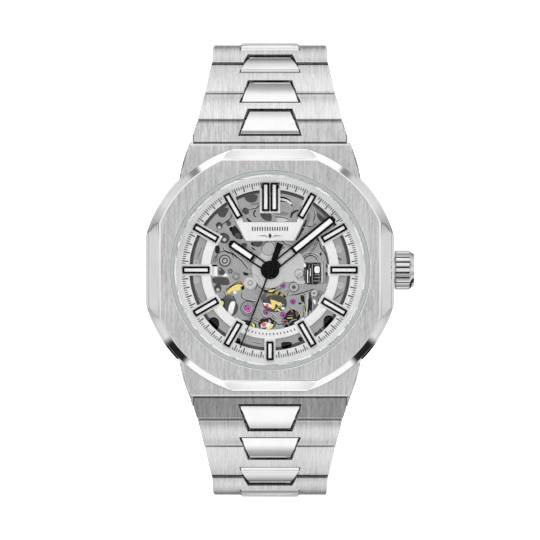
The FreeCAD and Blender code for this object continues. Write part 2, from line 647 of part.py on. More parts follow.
# ----------------------------------------------------------------- the crown
def crown():
    x0, x1, x2 = CROWN_X
    body = rod_x(CROWN_R, x0, x1, 0, STEM_Z)
    cap = Part.makeCone(CROWN_R - 0.2, 2.62, x2 - x1, V(x1, 0, STEM_Z), V(1, 0, 0))
    flutes = []
    for i in range(CROWN_FLUTES):
        a = 2 * math.pi * i / CROWN_FLUTES
        flutes.append(rod_x(0.22, x0 - 1, x1 - 0.12, (CROWN_R + 0.05) * math.cos(a),
                            STEM_Z + (CROWN_R + 0.05) * math.sin(a)))
    edge = [e for e in body.Edges if e.Curve.TypeId == "Part::GeomCircle"]
    body = body.makeChamfer(0.2, edge)
    hollow = rod_x(2.15, x0 - 1, 22.0, 0, STEM_Z)
    socket = rod_x(0.5, 21.5, 22.5, 0, STEM_Z)
    return without(joined([body, cap]), flutes + [hollow, socket])


def winding_stem():
    """Stem with the winding pinion and the sliding pinion on it."""
    stem = joined([rod_x(0.5, 7.4, 22.5, 0, STEM_Z), rod_x(0.35, 5.6, 7.5, 0, STEM_Z)])
    teeth = []
    for x0, x1, r in ((6.5, 7.1, 0.95), (7.3, 8.05, 1.05)):
        wheel = gear(14, r, x0, x1)
        wheel.rotate(V(0, 0, 0), V(0, 1, 0), 90)
        wheel.translate(V(0, 0, STEM_Z))
        teeth.append(wheel)
    return joined([stem] + teeth)


# -------------------------------------------------------------- the bracelet
def tangent(tilt):
    a = math.radians(tilt)
    return math.cos(a), -math.sin(a)


def hinge_points():
    """Hinge axes (y, z) of the 12 o'clock half, from the end link to the clasp."""
    y_gap = END_GAP_Y
    z_gap = END_TOP[1] - (y_gap - END_TOP[0]) * math.tan(math.radians(END_TILT))
    uy, uz = tangent(END_TILT)
    ny, nz = -uz, uy
    y = y_gap - 1.13 * uy - LINK_TOP * ny
    z = z_gap - 1.13 * uz - LINK_TOP * nz
    points = [(y, z)]
    for tilt, pitch in zip(LINK_TILTS, LINK_PITCHES):
        uy, uz = tangent(tilt)
        y, z = y + pitch * uy, z + pitch * uz
        points.append((y, z))
    return points


def placed(shape, point, tilt):
    """From a link's own frame (Y along it, Z outwards) to its place in the loop."""
    out = shape.copy()
    out.rotate(V(0, 0, 0), V(1, 0, 0), -tilt)
    out.translate(V(0, point[0], point[1]))
    return out


def trapezoid(u0, w0, u1, w1, z0, z1):
    return plate([(-w0, u0), (w0, u0), (w1, u1), (-w1, u1)], z0, z1)


def centre_half(u, u_out, gap=0.0):
    """Half width of a centre link at a distance u from its hinge."""
    share = (u - CENTRE_IN) / (u_out - CENTRE_IN)
    return CENTRE_WIDE + (CENTRE_NARROW - CENTRE_WIDE) * share + gap


def centre_link(u_out):
    """Polished centre link: wide rounded end on the hinge, narrow end in the link."""
    step = -0.35
    top = trapezoid(CENTRE_IN - 0.4, centre_half(CENTRE_IN - 0.4, u_out),
                    u_out, CENTRE_NARROW, step, CENTRE_TOP)
    low = trapezoid(CENTRE_IN - 0.4, centre_half(CENTRE_IN - 0.4, u_out) - 0.40,
                    u_out, CENTRE_NARROW - 0.40, LINK_BOTTOM + 0.1, step + 0.1)
    body = joined([top, low])
    keep = joined([rod_x(KNUCKLE_R, -9, 9), box(-9, 9, 0, 9, LINK_BOTTOM, CENTRE_TOP)])
    body = body.common(keep)
    body = body.cut(rod_x(PIN_R, -9, 9)).cut(rod_x(0.3, -9, 9, u_out - 1.0, -0.4))
    rim = [e for e in body.Edges if e.CenterOfMass.z > CENTRE_TOP - 0.01
           and e.CenterOfMass.y > CENTRE_IN + 0.3]
    return body.makeChamfer(0.12, rim)


def outer_notch(u_hinge, u_out):
    """What the next centre link needs cut out of this link."""
    w_in = centre_half(-NOTCH_R, u_out, NOTCH_GAP)
    w_out = centre_half(1.6, u_out, NOTCH_GAP)
    wedge = trapezoid(-NOTCH_R, w_in, 1.6, w_out, LINK_BOTTOM - 1, 3)
    round_end = joined([rod_x(NOTCH_R, -9, 9), box(-9, 9, 0, 3, -4, 4)])
    out = wedge.common(round_end)
    out.translate(V(0, u_hinge, 0))
    return out


def link_profile(u0, u1, rest_in, rest_out):
    """Side view: domed outer face, inner end undercut so that the link can bend."""
    top = LINK_TOP
    points = [(u0 + rest_in, LINK_BOTTOM), (u0 + 0.1, 0.3), (u0, top - 0.28), (u0 + 0.2, top)]
    for i in range(1, 8):
        s = i / 8.0
        points.append((u0 + 0.2 + (u1 - u0 - 0.5) * s, top + LINK_DOME * 4 * s * (1 - s)))
    points += [(u1 - 0.3, top), (u1 - 0.08, top - 0.14), (u1, top - 0.42),
               (u1 - rest_out, LINK_BOTTOM + 0.25), (u1 - rest_out - 0.3, LINK_BOTTOM)]
    return points


def wide_link(u0, half0, u1, half1, hinge_u, next_out, profile, own_out=None):
    """Brushed outer link with its notches and the bore for the next hinge pin."""
    prism = side_plate(profile, -14, 14)
    plan = trapezoid(u0, half0, u1, half1, -4, 4)
    body = prism.common(plan)
    cuts = [outer_notch(hinge_u, next_out), rod_x(PIN_HOLE_R, -14, 14, hinge_u)]
    if own_out:
        cuts.append(trapezoid(0.0, centre_half(0.0, own_out, NOTCH_GAP),
                              own_out + NOTCH_GAP, CENTRE_NARROW + NOTCH_GAP, -4, 4))
    return without(body, cuts)


def own_reach(index):
    return CENTRE_OUT - 0.25 if index == 0 else CENTRE_OUT


def link(index):
    """Wide link, centre link, hinge pin and fixed pin, in the link's own frame."""
    pitch = LINK_PITCHES[index]
    out = own_reach(index)
    nxt = own_reach(index + 1)
    u0, u1 = EDGE_IN, pitch + EDGE_OUT
    half0, half1 = LINK_HALF[index] - 0.06, LINK_HALF[index + 1]
    wide = wide_link(u0, half0, u1, half1, pitch, nxt,
                     link_profile(u0, u1, 1.0, 0.12), out)
    fixed_half = (half0 + half1) / 2 - 0.8
    wide = wide.cut(rod_x(0.3, -fixed_half, fixed_half, out - 1.0, -0.4))
    fixed = rod_x(0.3, -fixed_half, fixed_half, out - 1.0, -0.4)
    reach = LINK_HALF[index] - 0.12
    return [wide, centre_link(out), rod_x(PIN_R, -reach, reach), fixed]


def end_link():
    """End link between the case ears, with its spring bar, in the case's frame."""
    y0, z0 = END_TOP
    slope = math.tan(math.radians(END_TILT))
    y1 = END_GAP_Y - 0.08
    z1 = z0 - (y1 - y0) * slope
    profile = [(y0 - 0.02, z0 - 0.15), (y0 + 0.15, z0), (y1 - 0.25, z1 + 0.12),
               (y1, z1 - 0.3), (y1 - 0.75, z1 - 2.35), (y1 - 1.6, z1 - 3.1),
               (y0 + 0.3, 3.3), (y0 - 0.45, 3.7), (y0 - 0.62, 6.3)]
    body = side_plate(profile, -13, 13)
    taper_y = 22.1
    plan = plate([(-12.3, 19), (12.3, 19), (12.3, taper_y), (LINK_HALF[0] + 0.05, y1),
                  (-LINK_HALF[0] - 0.05, y1), (-12.3, taper_y)], 0, 9)
    body = body.common(plan)
    notch = placed(outer_notch(0, own_reach(0)), hinge_points()[0], END_TILT)
    pin_hole = placed(rod_x(PIN_HOLE_R, -14, 14), hinge_points()[0], END_TILT)
    return without(body, [notch, pin_hole, rod_x(0.40, -13, 13, 21.1, 4.1)])


def spring_bar(tip):
    """Barrel with a narrow tip at each end."""
    return joined([rod_x(0.40, -11.6, 11.6, 21.1, 4.1), rod_x(0.3, -tip, tip, 21.1, 4.1)])


# ----------------------------------------------------------------- the clasp
def clasp_place(shape):
    """From the clasp's frame (Y towards 12 o'clock, Z outwards) to the loop."""
    out = shape.copy()
    out.rotate(V(0, 0, 0), V(0, 1, 0), 180)
    out.translate(V(0, 0, hinge_points()[-1][1]))
    return out


def knuckle_block(y, towards):
    """Block that fills a link's notch and carries the hinge pin to the clasp."""
    out = own_reach(1)
    half = centre_half(0.0, out) - 0.35
    body = joined([rod_x(KNUCKLE_R, -half, half),
                   box(-half, half, 0, 2.6, -1.15, 0.30)])
    body = body.common(box(-9, 9, -3, 3, -1.5, 1.05))
    pin = rod_x(PIN_R, -8.7, 8.7)
    if towards < 0:
        body = body.mirror(V(0, 0, 0), V(0, 1, 0))
    body.translate(V(0, y, 0))
    pin.translate(V(0, y, 0))
    return body, pin


def clasp_end():
    return hinge_points()[-1][0]


def barrel_knuckles(point, spans, r):
    return [rod_x(r, a, b, *point) for a, b in spans]


def clasp_blade_b():
    """Inner blade, hinged to the 12 o'clock half of the bracelet."""
    y_end = clasp_end()
    z0, z1 = BLADE_B_N
    block, pin = knuckle_block(y_end, -1)
    strip = box(-BLADE_HALF, BLADE_HALF, HINGE_2[0] + 0.9, y_end - 1.9, z0, z1)
    tab = box(-2.4, 2.4, HINGE_2[0], HINGE_2[0] + 1.2, z0 + 0.05, z1)
    centre = barrel_knuckles(HINGE_2, [(-2.4, 2.4)], 0.62)
    cuts = [box(-6.2, 6.2, HINGE_1[0] - 1.3, HINGE_1[0] + 1.3, -3, 3),
            box(-3.6, 3.6, -9, 8, -3, 3), rod_x(0.33, -9, 9, *HINGE_2),
            pin]
    body = without(joined([strip, tab, block] + centre), cuts)
    return [clasp_place(body), clasp_place(pin)]


def clasp_blade_a():
    """Middle blade between the two folding hinges."""
    z0, z1 = BLADE_A_N
    strip = box(-BLADE_HALF, BLADE_HALF, HINGE_2[0] + 0.9, HINGE_1[0] - 0.8, z0, z1)
    tabs = [box(s * 4.3 - 1.6, s * 4.3 + 1.6, HINGE_2[0], HINGE_2[0] + 1.2, -0.25, z1 - 0.1)
            for s in (-1, 1)]
    outer = barrel_knuckles(HINGE_2, [(-5.9, -2.7), (2.7, 5.9)], 0.62)
    nose = box(-2.4, 2.4, HINGE_1[0] - 1.0, HINGE_1[0], -0.3, z1)
    centre = barrel_knuckles(HINGE_1, [(-2.4, 2.4)], 0.55)
    pin = rod_x(0.30, -5.9, 5.9, *HINGE_2)
    cuts = [box(-3.6, 3.6, -9, 8, -3, 3), rod_x(0.33, -9, 9, *HINGE_1), pin]
    body = without(joined([strip, nose] + tabs + outer + centre), cuts)
    return [clasp_place(body), clasp_place(pin)]


def clasp_cover():
    """Outer shell of the clasp, hinged to the 6 o'clock half of the bracelet."""
    y_end = clasp_end()
    n0, n1 = COVER_N
    wall_x, wall_n = COVER_WALL
    y0, y1 = -y_end + CLASP_OVERHANG - 0.1, y_end - 1.85
    profile = [(y0, n0), (y0, n1 - 0.5), (y0 + 0.6, n1), (y1 - 0.6, n1), (y1, n1 - 0.5), (y1, n0)]
    top = side_plate(profile, -CLASP_HALF, CLASP_HALF)
    walls = [box(min(s * wall_x, s * CLASP_HALF), max(s * wall_x, s * CLASP_HALF),
                 y0 + 0.3, y1 - 2.2, wall_n, n0 + 0.1) for s in (-1, 1)]
    block, pin = knuckle_block(-y_end, 1)
    neck = box(-3.6, 3.6, -y_end + 1.5, -y_end + 2.6, -0.2, n0 + 0.2)
    ears = [box(s * 4.4 - 1.6, s * 4.4 + 1.6, HINGE_1[0] - 0.5, HINGE_1[0] + 0.5,
                HINGE_1[1], n0 + 0.1) for s in (-1, 1)]
    outer = barrel_knuckles(HINGE_1, [(-6.0, -2.7), (2.7, 6.0)], 0.5)
    hinge_pin = rod_x(0.30, -6.0, 6.0, *HINGE_1)
    holes = [rod_x(BUTTON_HOLE_R, a, b, *BUTTON_AT) for a, b in ((-10, -8), (8, 10))]
    body = without(joined([top, block, neck] + walls + ears + outer), [pin, hinge_pin] + holes)
    return [clasp_place(body), clasp_place(pin), clasp_place(hinge_pin)]


def push_button(side):
    stem = rod_x(BUTTON_R, 7.65, 9.7, *BUTTON_AT)
    stop = rod_x(0.85, 7.65, 8.15, *BUTTON_AT).common(box(7, 9, -9, 9, -0.9, 0.35))
    body = joined([stem, stop])
    if side < 0:
        body = body.mirror(V(0, 0, 0), V(1, 0, 0))
    return clasp_place(body)


# ---------------------------------------------------------------- write files
save("case_middle", case_middle())
save("bezel", bezel())
save("crystal", crystal())
save("crystal_gasket", ring(BEZEL_OPENING_R, CRYSTAL_R, CRYSTAL_Z[0], BEZEL_Z[2] - 0.02))
save("rehaut", ring(CRYSTAL_R, REHAUT_R, DIAL_Z[1], CRYSTAL_Z[0]))
save("case_back", case_back())
save("case_back_crystal", joined([disc(BACK_WINDOW_R - 0.05, 0.0, 0.5),
                                   disc(BACK_GLASS_R, 0.5, 1.45)]))
save("crown_tube", without(joined([rod_x(1.5, 15.45, 21.6, 0, STEM_Z)]),
                           [rod_x(0.56, 14, 23, 0, STEM_Z)]))
save("crown_seal", rod_x(2.1, 20.7, 21.3, 0, STEM_Z).cut(rod_x(1.54, 20, 22, 0, STEM_Z)))
save("crown", crown())
save("winding_stem", winding_stem())

save("dial", dial())
save("hour_markers", *hour_markers())
save("movement_ring", ring(DIAL_OUTER[0], MOVEMENT_R + 0.05, 3.0, DIAL_Z[0]).cut(
    rod_x(0.6, 12, 16, 0, STEM_Z)))
save("hour_hand", *baton_hand(7.9, 1.4, 8.18, 8.32, 3.6, (1.35, 3.2), 1.35, 0.75, HOUR_ANGLE))
save("minute_hand", *baton_hand(13.3, 1.5, 8.48, 8.64, 5.1, (1.9, 4.75), 1.5, 0.40, MINUTE_ANGLE))
save("seconds_hand", seconds_hand())

save("main_plate", main_plate())
save("motion_cover", motion_cover())
save("train_bridge", train_bridge())
save("balance_cock", balance_cock())
save("jewels", *jewels())
save("movement_screws", *movement_screws())
save("keyless_works", *keyless_works())
save("centre_wheel", centre_wheel())
save("hour_wheel", hour_wheel())
save("minute_wheel", minute_wheel())
save("seconds_pinion", seconds_pinion())
save("third_wheel", third_wheel())
save("fourth_wheel", fourth_wheel())
save("escape_wheel", escape_wheel())
save("pallet_fork", *pallet_fork())
save("balance_wheel", balance_wheel())
save("hairspring", hairspring())
save("barrel", barrel())
save("rotor", rotor())
save("rotor_bearing", rotor_bearing())

hinges = hinge_points()
across = (V(0, 0, 0), V(0, 1, 0))
save("upper_end_link", end_link(), spring_bar(12.8))
save("lower_end_link", end_link().mirror(*across), spring_bar(12.25).mirror(*across))
for number, (tilt, point) in enumerate(zip(LINK_TILTS, hinges)):
    pieces = [placed(piece, point, tilt) for piece in link(number)]
    save("upper_link_%d" % (number + 1), *pieces)
    save("lower_link_%d" % (number + 1), *[piece.mirror(*across) for piece in pieces])
save("clasp_cover", *clasp_cover())
save("clasp_blade_a", *clasp_blade_a())
save("clasp_blade_b", *clasp_blade_b())
save("push_button_right", push_button(-1))
save("push_button_left", push_button(1))
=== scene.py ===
import json
import math

import bmesh
import bpy
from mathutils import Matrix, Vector

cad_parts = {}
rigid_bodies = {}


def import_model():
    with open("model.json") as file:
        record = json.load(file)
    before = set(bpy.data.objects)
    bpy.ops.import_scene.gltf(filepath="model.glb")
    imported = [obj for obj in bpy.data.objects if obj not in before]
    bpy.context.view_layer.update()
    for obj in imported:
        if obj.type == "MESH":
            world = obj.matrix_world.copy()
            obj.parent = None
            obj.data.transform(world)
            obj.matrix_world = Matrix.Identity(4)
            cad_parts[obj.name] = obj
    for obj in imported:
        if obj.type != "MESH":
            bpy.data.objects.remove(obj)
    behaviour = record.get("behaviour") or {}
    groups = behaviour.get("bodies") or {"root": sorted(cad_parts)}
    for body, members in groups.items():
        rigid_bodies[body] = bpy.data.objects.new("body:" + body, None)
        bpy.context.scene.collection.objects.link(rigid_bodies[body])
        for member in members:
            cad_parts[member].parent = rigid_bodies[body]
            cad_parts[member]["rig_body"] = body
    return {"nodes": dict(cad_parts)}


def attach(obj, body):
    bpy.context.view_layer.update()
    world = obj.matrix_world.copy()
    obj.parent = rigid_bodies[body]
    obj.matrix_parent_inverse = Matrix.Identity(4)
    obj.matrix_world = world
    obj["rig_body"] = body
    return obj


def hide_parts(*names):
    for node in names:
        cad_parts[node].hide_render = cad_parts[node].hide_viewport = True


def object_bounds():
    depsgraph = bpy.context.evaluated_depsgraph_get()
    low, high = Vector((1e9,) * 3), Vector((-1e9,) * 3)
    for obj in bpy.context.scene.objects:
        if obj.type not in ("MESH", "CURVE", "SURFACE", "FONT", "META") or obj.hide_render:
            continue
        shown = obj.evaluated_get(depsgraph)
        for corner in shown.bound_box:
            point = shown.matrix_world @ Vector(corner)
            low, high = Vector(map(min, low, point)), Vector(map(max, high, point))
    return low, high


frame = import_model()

# Looks for the skeleton wristwatch. Sizes are in millimetres in the watch's own
# plan: x towards 3 o'clock, y towards 12 o'clock and h the height above the case
# back. at() turns them into the frame's metres.

MM = 0.001
NODES = frame["nodes"]
BODY_OF = {n: o["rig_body"] for n, o in NODES.items()}
cad_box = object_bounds()


def at(x, y, h):
    """A place of the watch's plan in the frame."""
    return Vector((x * MM, -h * MM, y * MM))


def clock(r, degrees):
    """The plan's x and y at a radius and a clock angle."""
    a = math.radians(degrees)
    return r * math.sin(a), r * math.cos(a)


# ------------------------------------------------------------------ materials
class Nodes:
    """A material's node tree with short calls for the nodes used here."""

    def __init__(self, name, **sockets):
        self.material = bpy.data.materials.new(name)
        self.material.use_nodes = True
        self.tree = self.material.node_tree
        self.tree.nodes.clear()
        self.out = self.add("ShaderNodeOutputMaterial")
        self.bsdf = self.add("ShaderNodeBsdfPrincipled")
        self.link(self.bsdf.outputs[0], self.out.inputs["Surface"])
        for key, value in sockets.items():
            self.bsdf.inputs[key.replace("_", " ")].default_value = value
        self.place = self.add("ShaderNodeTexCoord").outputs["Object"]

    def add(self, kind, **settings):
        node = self.tree.nodes.new(kind)
        for key, value in settings.items():
            setattr(node, key, value)
        return node

    def link(self, a, b):
        self.tree.links.new(a, b)

    def noise(self, scale, detail=3.0, roughness=0.55):
        """Noise of the object's own place; scale is (x, y, z) in cycles per metre."""
        mapping = self.add("ShaderNodeMapping")
        mapping.inputs["Scale"].default_value = scale
        self.link(self.place, mapping.inputs["Vector"])
        node = self.add("ShaderNodeTexNoise")
        node.inputs["Scale"].default_value = 1.0
        node.inputs["Detail"].default_value = detail
        node.inputs["Roughness"].default_value = roughness
        self.link(mapping.outputs[0], node.inputs["Vector"])
        return node.outputs[0]

    def spread(self, value, low, high, start=0.3, end=0.7):
        """low to high as the value goes from start to end."""
        node = self.add("ShaderNodeMapRange")
        self.link(value, node.inputs["Value"])
        for name, number in zip(("From Min", "From Max", "To Min", "To Max"),
                                (start, end, low, high)):
            node.inputs[name].default_value = number
        return node.outputs[0]

    def math(self, kind, a, b=None):
        node = self.add("ShaderNodeMath", operation=kind)
        for socket, value in zip(node.inputs, (a, b)):
            if value is None:
                continue
            if isinstance(value, (int, float)):
                socket.default_value = value
            else:
                self.link(value, socket)
        return node.outputs[0]

    def blend(self, factor, dark, light):
        """Mix of two colours; sockets 6 and 7 are the colours A and B, and 2 the result."""
        node = self.add("ShaderNodeMix", data_type="RGBA")
        self.link(factor, node.inputs["Factor"])
        for socket, colour in ((node.inputs[6], dark), (node.inputs[7], light)):
            if isinstance(colour, tuple):
                socket.default_value = colour + (1.0,)
            else:
                self.link(colour, socket)
        return node.outputs[2]

    def bump(self, height, strength, distance_mm):
        node = self.add("ShaderNodeBump")
        node.inputs["Strength"].default_value = strength
        node.inputs["Distance"].default_value = distance_mm * MM
        self.link(height, node.inputs["Height"])
        self.link(node.outputs[0], self.bsdf.inputs["Normal"])


def grey(v):
    return (v, v, v)


def brushed(name, scale, dark, light, rough=(0.24, 0.4), bump=0.22, metallic=1.0):
    """Straight-grained metal; scale is the grain's frequency along x, y and z."""
    m = Nodes(name, Metallic=metallic)
    fine = m.noise(tuple(s * 6.0 for s in scale), 2.0)
    coarse = m.noise(scale, 4.0, 0.7)
    cloud = m.noise((90.0, 90.0, 90.0), 2.0)
    both = m.math("ADD", m.math("MULTIPLY", fine, 0.45), m.math("MULTIPLY", coarse, 0.55))
    tone = m.math("ADD", m.math("MULTIPLY", both, 0.85), m.math("MULTIPLY", cloud, 0.15))
    m.link(m.blend(m.spread(tone, 0.0, 1.0, 0.36, 0.64), dark, light),
           m.bsdf.inputs["Base Color"])
    m.link(m.spread(both, rough[0], rough[1]), m.bsdf.inputs["Roughness"])
    m.bump(both, bump, 0.012)
    return m.material


def polished(name, colour, rough=(0.03, 0.09)):
    """Mirror metal with faint hairlines and smears."""
    m = Nodes(name, Metallic=1.0)
    smear = m.noise((260.0, 260.0, 260.0), 5.0, 0.6)
    hair = m.noise((9000.0, 1500.0, 700.0), 2.0)
    m.link(m.blend(m.spread(smear, 0.0, 1.0), tuple(0.94 * c for c in colour), colour),
           m.bsdf.inputs["Base Color"])
    both = m.math("ADD", m.math("MULTIPLY", smear, 0.6), m.math("MULTIPLY", hair, 0.4))
    m.link(m.spread(both, rough[0], rough[1]), m.bsdf.inputs["Roughness"])
    m.bump(hair, 0.03, 0.004)
    return m.material


def matt_metal(name, dark, light, rough=(0.34, 0.5)):
    """Fine blasted or frosted metal."""
    m = Nodes(name, Metallic=1.0)
    fine = m.noise((9000.0, 9000.0, 9000.0), 3.0)
    cloud = m.noise((420.0, 420.0, 420.0), 4.0)
    both = m.math("ADD", m.math("MULTIPLY", fine, 0.6), m.math("MULTIPLY", cloud, 0.4))
    m.link(m.blend(m.spread(both, 0.0, 1.0), dark, light), m.bsdf.inputs["Base Color"])
    m.link(m.spread(both, rough[0], rough[1]), m.bsdf.inputs["Roughness"])
    m.bump(fine, 0.16, 0.008)
    return m.material


def lacquer(name, colour, rough, grain=2500.0, lift=0.03, specular=0.5):
    """Painted or printed surface with a little orange peel."""
    m = Nodes(name, Metallic=0.0, Coat_Weight=0.0, Coat_Roughness=0.08,
              Specular_IOR_Level=specular)
    peel = m.noise((grain, grain, grain), 3.0)
    light = tuple(min(1.0, c + lift) for c in colour)
    m.link(m.blend(m.spread(peel, 0.0, 1.0), colour, light), m.bsdf.inputs["Base Color"])
    m.link(m.spread(peel, rough * 0.85, rough * 1.15), m.bsdf.inputs["Roughness"])
    m.bump(peel, 0.05, 0.01)
    return m.material


def jewel(name, dark, light):
    """Synthetic ruby, coloured all through and highly polished."""
    m = Nodes(name, Coat_Weight=0.7, Coat_Roughness=0.03, IOR=1.76)
    cloud = m.noise((1500.0, 1500.0, 1500.0), 3.0)
    m.link(m.blend(m.spread(cloud, 0.0, 1.0), dark, light), m.bsdf.inputs["Base Color"])
    m.link(m.spread(cloud, 0.05, 0.14), m.bsdf.inputs["Roughness"])
    return m.material


def glass(name):
    """Clear sapphire: almost unseen from the front, brighter at a grazing angle."""
    m = Nodes(name, Roughness=0.02, IOR=1.6)
    m.bsdf.inputs["Base Color"].default_value = (0.01, 0.011, 0.012, 1.0)
    facing = m.add("ShaderNodeLayerWeight")
    m.link(m.spread(facing.outputs["Facing"], 0.004, 0.6, 0.55, 1.0), m.bsdf.inputs["Alpha"])
    return m.material


GRAIN_Z = (3400.0, 60.0, 260.0)       # brushed from 12 to 6 o'clock
GRAIN_X = (60.0, 2600.0, 2600.0)      # brushed from 9 to 3 o'clock, on the flanks
M = {
    "steel": brushed("steel_brushed", GRAIN_Z, grey(0.36), grey(0.78)),
    # painted light: a lighter copy of the brushed steel, for the bracelet's wide pieces
    "steel_painted_lit": brushed("steel_brushed_painted_lit", GRAIN_Z, grey(0.56), grey(0.96)),
    # painted shade: dark steel for the links' rounded edges and the crown's flute valleys
    "edge": polished("edge_steel_painted_shade", grey(0.05), (0.2, 0.3)),
    "crown": polished("crown_steel", grey(0.78), (0.06, 0.14)),
    "rehaut": lacquer("rehaut_white", grey(0.98), 0.35, 900.0, 0.02),
    # painted shadows on the movement plate
    "mid": matt_metal("movement_mid", grey(0.24), grey(0.36), (0.4, 0.6)),
    "steel_flank": brushed("steel_flank", GRAIN_X, grey(0.46), grey(0.66)),
    "mirror": polished("steel_polished", (0.90, 0.90, 0.91)),
    "pin": polished("pin_steel", (0.62, 0.62, 0.63), (0.15, 0.3)),
    "glass": glass("sapphire"),
    "gasket": lacquer("gasket_grey_green", (0.28, 0.305, 0.295), 0.45, 900.0),
    "rubber": lacquer("seal_rubber", (0.02, 0.02, 0.02), 0.6),
    "dial": brushed("dial_silver", (900.0, 30.0, 30.0), grey(0.59), grey(0.63), (0.42, 0.55),
                    bump=0.05, metallic=0.1),
    "print": lacquer("dial_print", (0.015, 0.015, 0.017), 0.4),
    "black": lacquer("black_lacquer", (0.002, 0.002, 0.002), 0.2, 1200.0, 0.003, specular=0.06),
    # also the white patches in the movement, some of them painted highlights
    "lume_and_highlight": lacquer("lume_and_highlight_white", (0.63, 0.63, 0.623), 0.65, 5000.0, 0.05),
    "plate": matt_metal("movement_plate", grey(0.35), grey(0.51)),
    "bridge": matt_metal("movement_bridge", grey(0.54), grey(0.74), (0.28, 0.42)),
    # painted shade: the next two, near black and dark grey, stand in for shade in the movement's
    # openings, pockets, floors and hidden faces
    "deep_shade": matt_metal("movement_deep_shade", grey(0.018), grey(0.05), (0.4, 0.6)),
    "shade": matt_metal("movement_shade", grey(0.07), grey(0.15), (0.4, 0.6)),
    # painted highlight: pale strokes beside the plate's grooves
    "pale": polished("bright_edge_painted_highlight", grey(0.80), (0.15, 0.3)),
    "gap": lacquer("shadow_gap", (0.001, 0.001, 0.001), 1.0, 2500.0, 0.001, specular=0.0),
    "gilt": matt_metal("gilt_brass", (0.84, 0.66, 0.14), (1.0, 0.90, 0.38), (0.22, 0.38)),
    "wheel": matt_metal("wheel_steel", grey(0.34), grey(0.52), (0.2, 0.34)),
    "ruby": jewel("ruby_violet", (0.10, 0.005, 0.10), (0.34, 0.02, 0.30)),
    "magenta": jewel("ruby_magenta", (0.24, 0.01, 0.20), (0.46, 0.03, 0.36)),
    "red": jewel("pallet_red", (0.42, 0.004, 0.006), (0.75, 0.02, 0.02)),
    "screw": polished("screw_steel", (0.50, 0.50, 0.51), (0.16, 0.28)),
    "stripes": brushed("bridge_stripes", (420.0, 420.0, 40.0), grey(0.74), grey(0.98)),
    "spring": polished("spring_blue_grey", (0.36, 0.40, 0.48), (0.12, 0.22)),
}


# ---------------------------------------------------------------- mesh helpers
def clean_copy(node):
    """The CAD node's mesh with shared corners joined."""
    bm = bmesh.new()
    bm.from_mesh(NODES[node].data)
    bmesh.ops.remove_doubles(bm, verts=bm.verts, dist=2e-7)
    return bm


def merge_flats(bm):
    """Joins flat faces, unless one with a hole in it would be filled over."""
    before = sum(f.calc_area() for f in bm.faces)
    trial = bm.copy()
    bmesh.ops.dissolve_limit(trial, angle_limit=math.radians(0.6), verts=trial.verts,
                             edges=trial.edges, delimit={"NORMAL"})
    after = sum(f.calc_area() for f in trial.faces)
    simple = all(len(set(f.verts)) == len(f.verts) for f in trial.faces)
    if simple and abs(after - before) < 2e-4 * before and trial.faces:
        bm.free()
        return trial
    trial.free()
    return bm


def islands(bm):
    """The separate solids of a mesh, each as a list of faces."""
    left = set(bm.faces)
    groups = []
    while left:
        start = left.pop()
        group, queue = [start], [start]
        while queue:
            for edge in queue.pop().edges:
                for face in edge.link_faces:
                    if face in left:
                        left.remove(face)
                        group.append(face)
                        queue.append(face)
        groups.append(group)
    return groups


def size_of(faces):
    """Lowest and highest corner of some faces, in mm."""
    points = [v.co for f in faces for v in f.verts]
    low = Vector([min(p[i] for p in points) for i in range(3)])
    high = Vector([max(p[i] for p in points) for i in range(3)])
    return low / MM, high / MM


def new_object(name, data):
    """An object of the scene that holds data."""
    obj = bpy.data.objects.new(name, data)
    bpy.context.scene.collection.objects.link(obj)
    return obj


def object_from(bm, name):
    """An object holding the mesh of bm, which is freed."""
    mesh = bpy.data.meshes.new(name)
    bm.to_mesh(mesh)
    bm.free()
    return new_object(name, mesh)


def piece_from(faces, name):
    """A new object holding a copy of some faces."""
    bm = bmesh.new()
    made = {}
    for face in faces:
        for v in face.verts:
            if v not in made:
                made[v] = bm.verts.new(v.co)
        try:
            bm.faces.new([made[v] for v in face.verts])
        except ValueError:
            pass        # the mesh holds the same face twice
    return object_from(merge_flats(bm), name)


SMOOTH_ANGLE = math.radians(35.0)     # flatter corners than this are shaded smooth
EDGE_ANGLE = math.radians(32.0)       # sharper corners than this get rounded


def finish_edges(obj, width, segments=2, trim=None):
    """Small rounded outer corners and smooth shading between them.

    Inner corners stay sharp, so nothing is added in a working gap. trim is the
    material of the rounded corners: a polished finish, or dark steel as painted shade.
    """
    obj.data.polygons.foreach_set("use_smooth", [True] * len(obj.data.polygons))
    obj.data.set_sharp_from_angle(angle=SMOOTH_ANGLE)
    if width:
        bm = bmesh.new()
        bm.from_mesh(obj.data)
        weight = bm.edges.layers.float.new("bevel_weight_edge")
        for e in bm.edges:
            if e.is_manifold and e.is_convex and e.calc_face_angle() > EDGE_ANGLE:
                e[weight] = 1.0
        bm.to_mesh(obj.data)
        bm.free()
        bevel = obj.modifiers.new("edge", "BEVEL")
        bevel.width = width * MM
        bevel.segments = segments
        bevel.limit_method = "WEIGHT"
        bevel.use_clamp_overlap = True
        bevel.harden_normals = True
        if trim:
            obj.data.materials.append(M[trim])
            bevel.material = len(obj.data.materials) - 1
    return obj


def paint(obj, *materials):
    """Gives an object these materials, in this order."""
    obj.data.materials.clear()
    for m in materials:
        obj.data.materials.append(M[m])
    return obj


def sort_faces(obj, rule):
    """Gives each face the material index that rule(normal, centre) returns."""
    for poly in obj.data.polygons:
        poly.material_index = rule(poly.normal, poly.center / MM)


def mount(obj, body, slot, *nodes):
    """Puts a piece on its body, in place of any CAD nodes named. slot is not used."""
    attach(obj, body)
    if nodes:
        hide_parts(*nodes)
    return obj


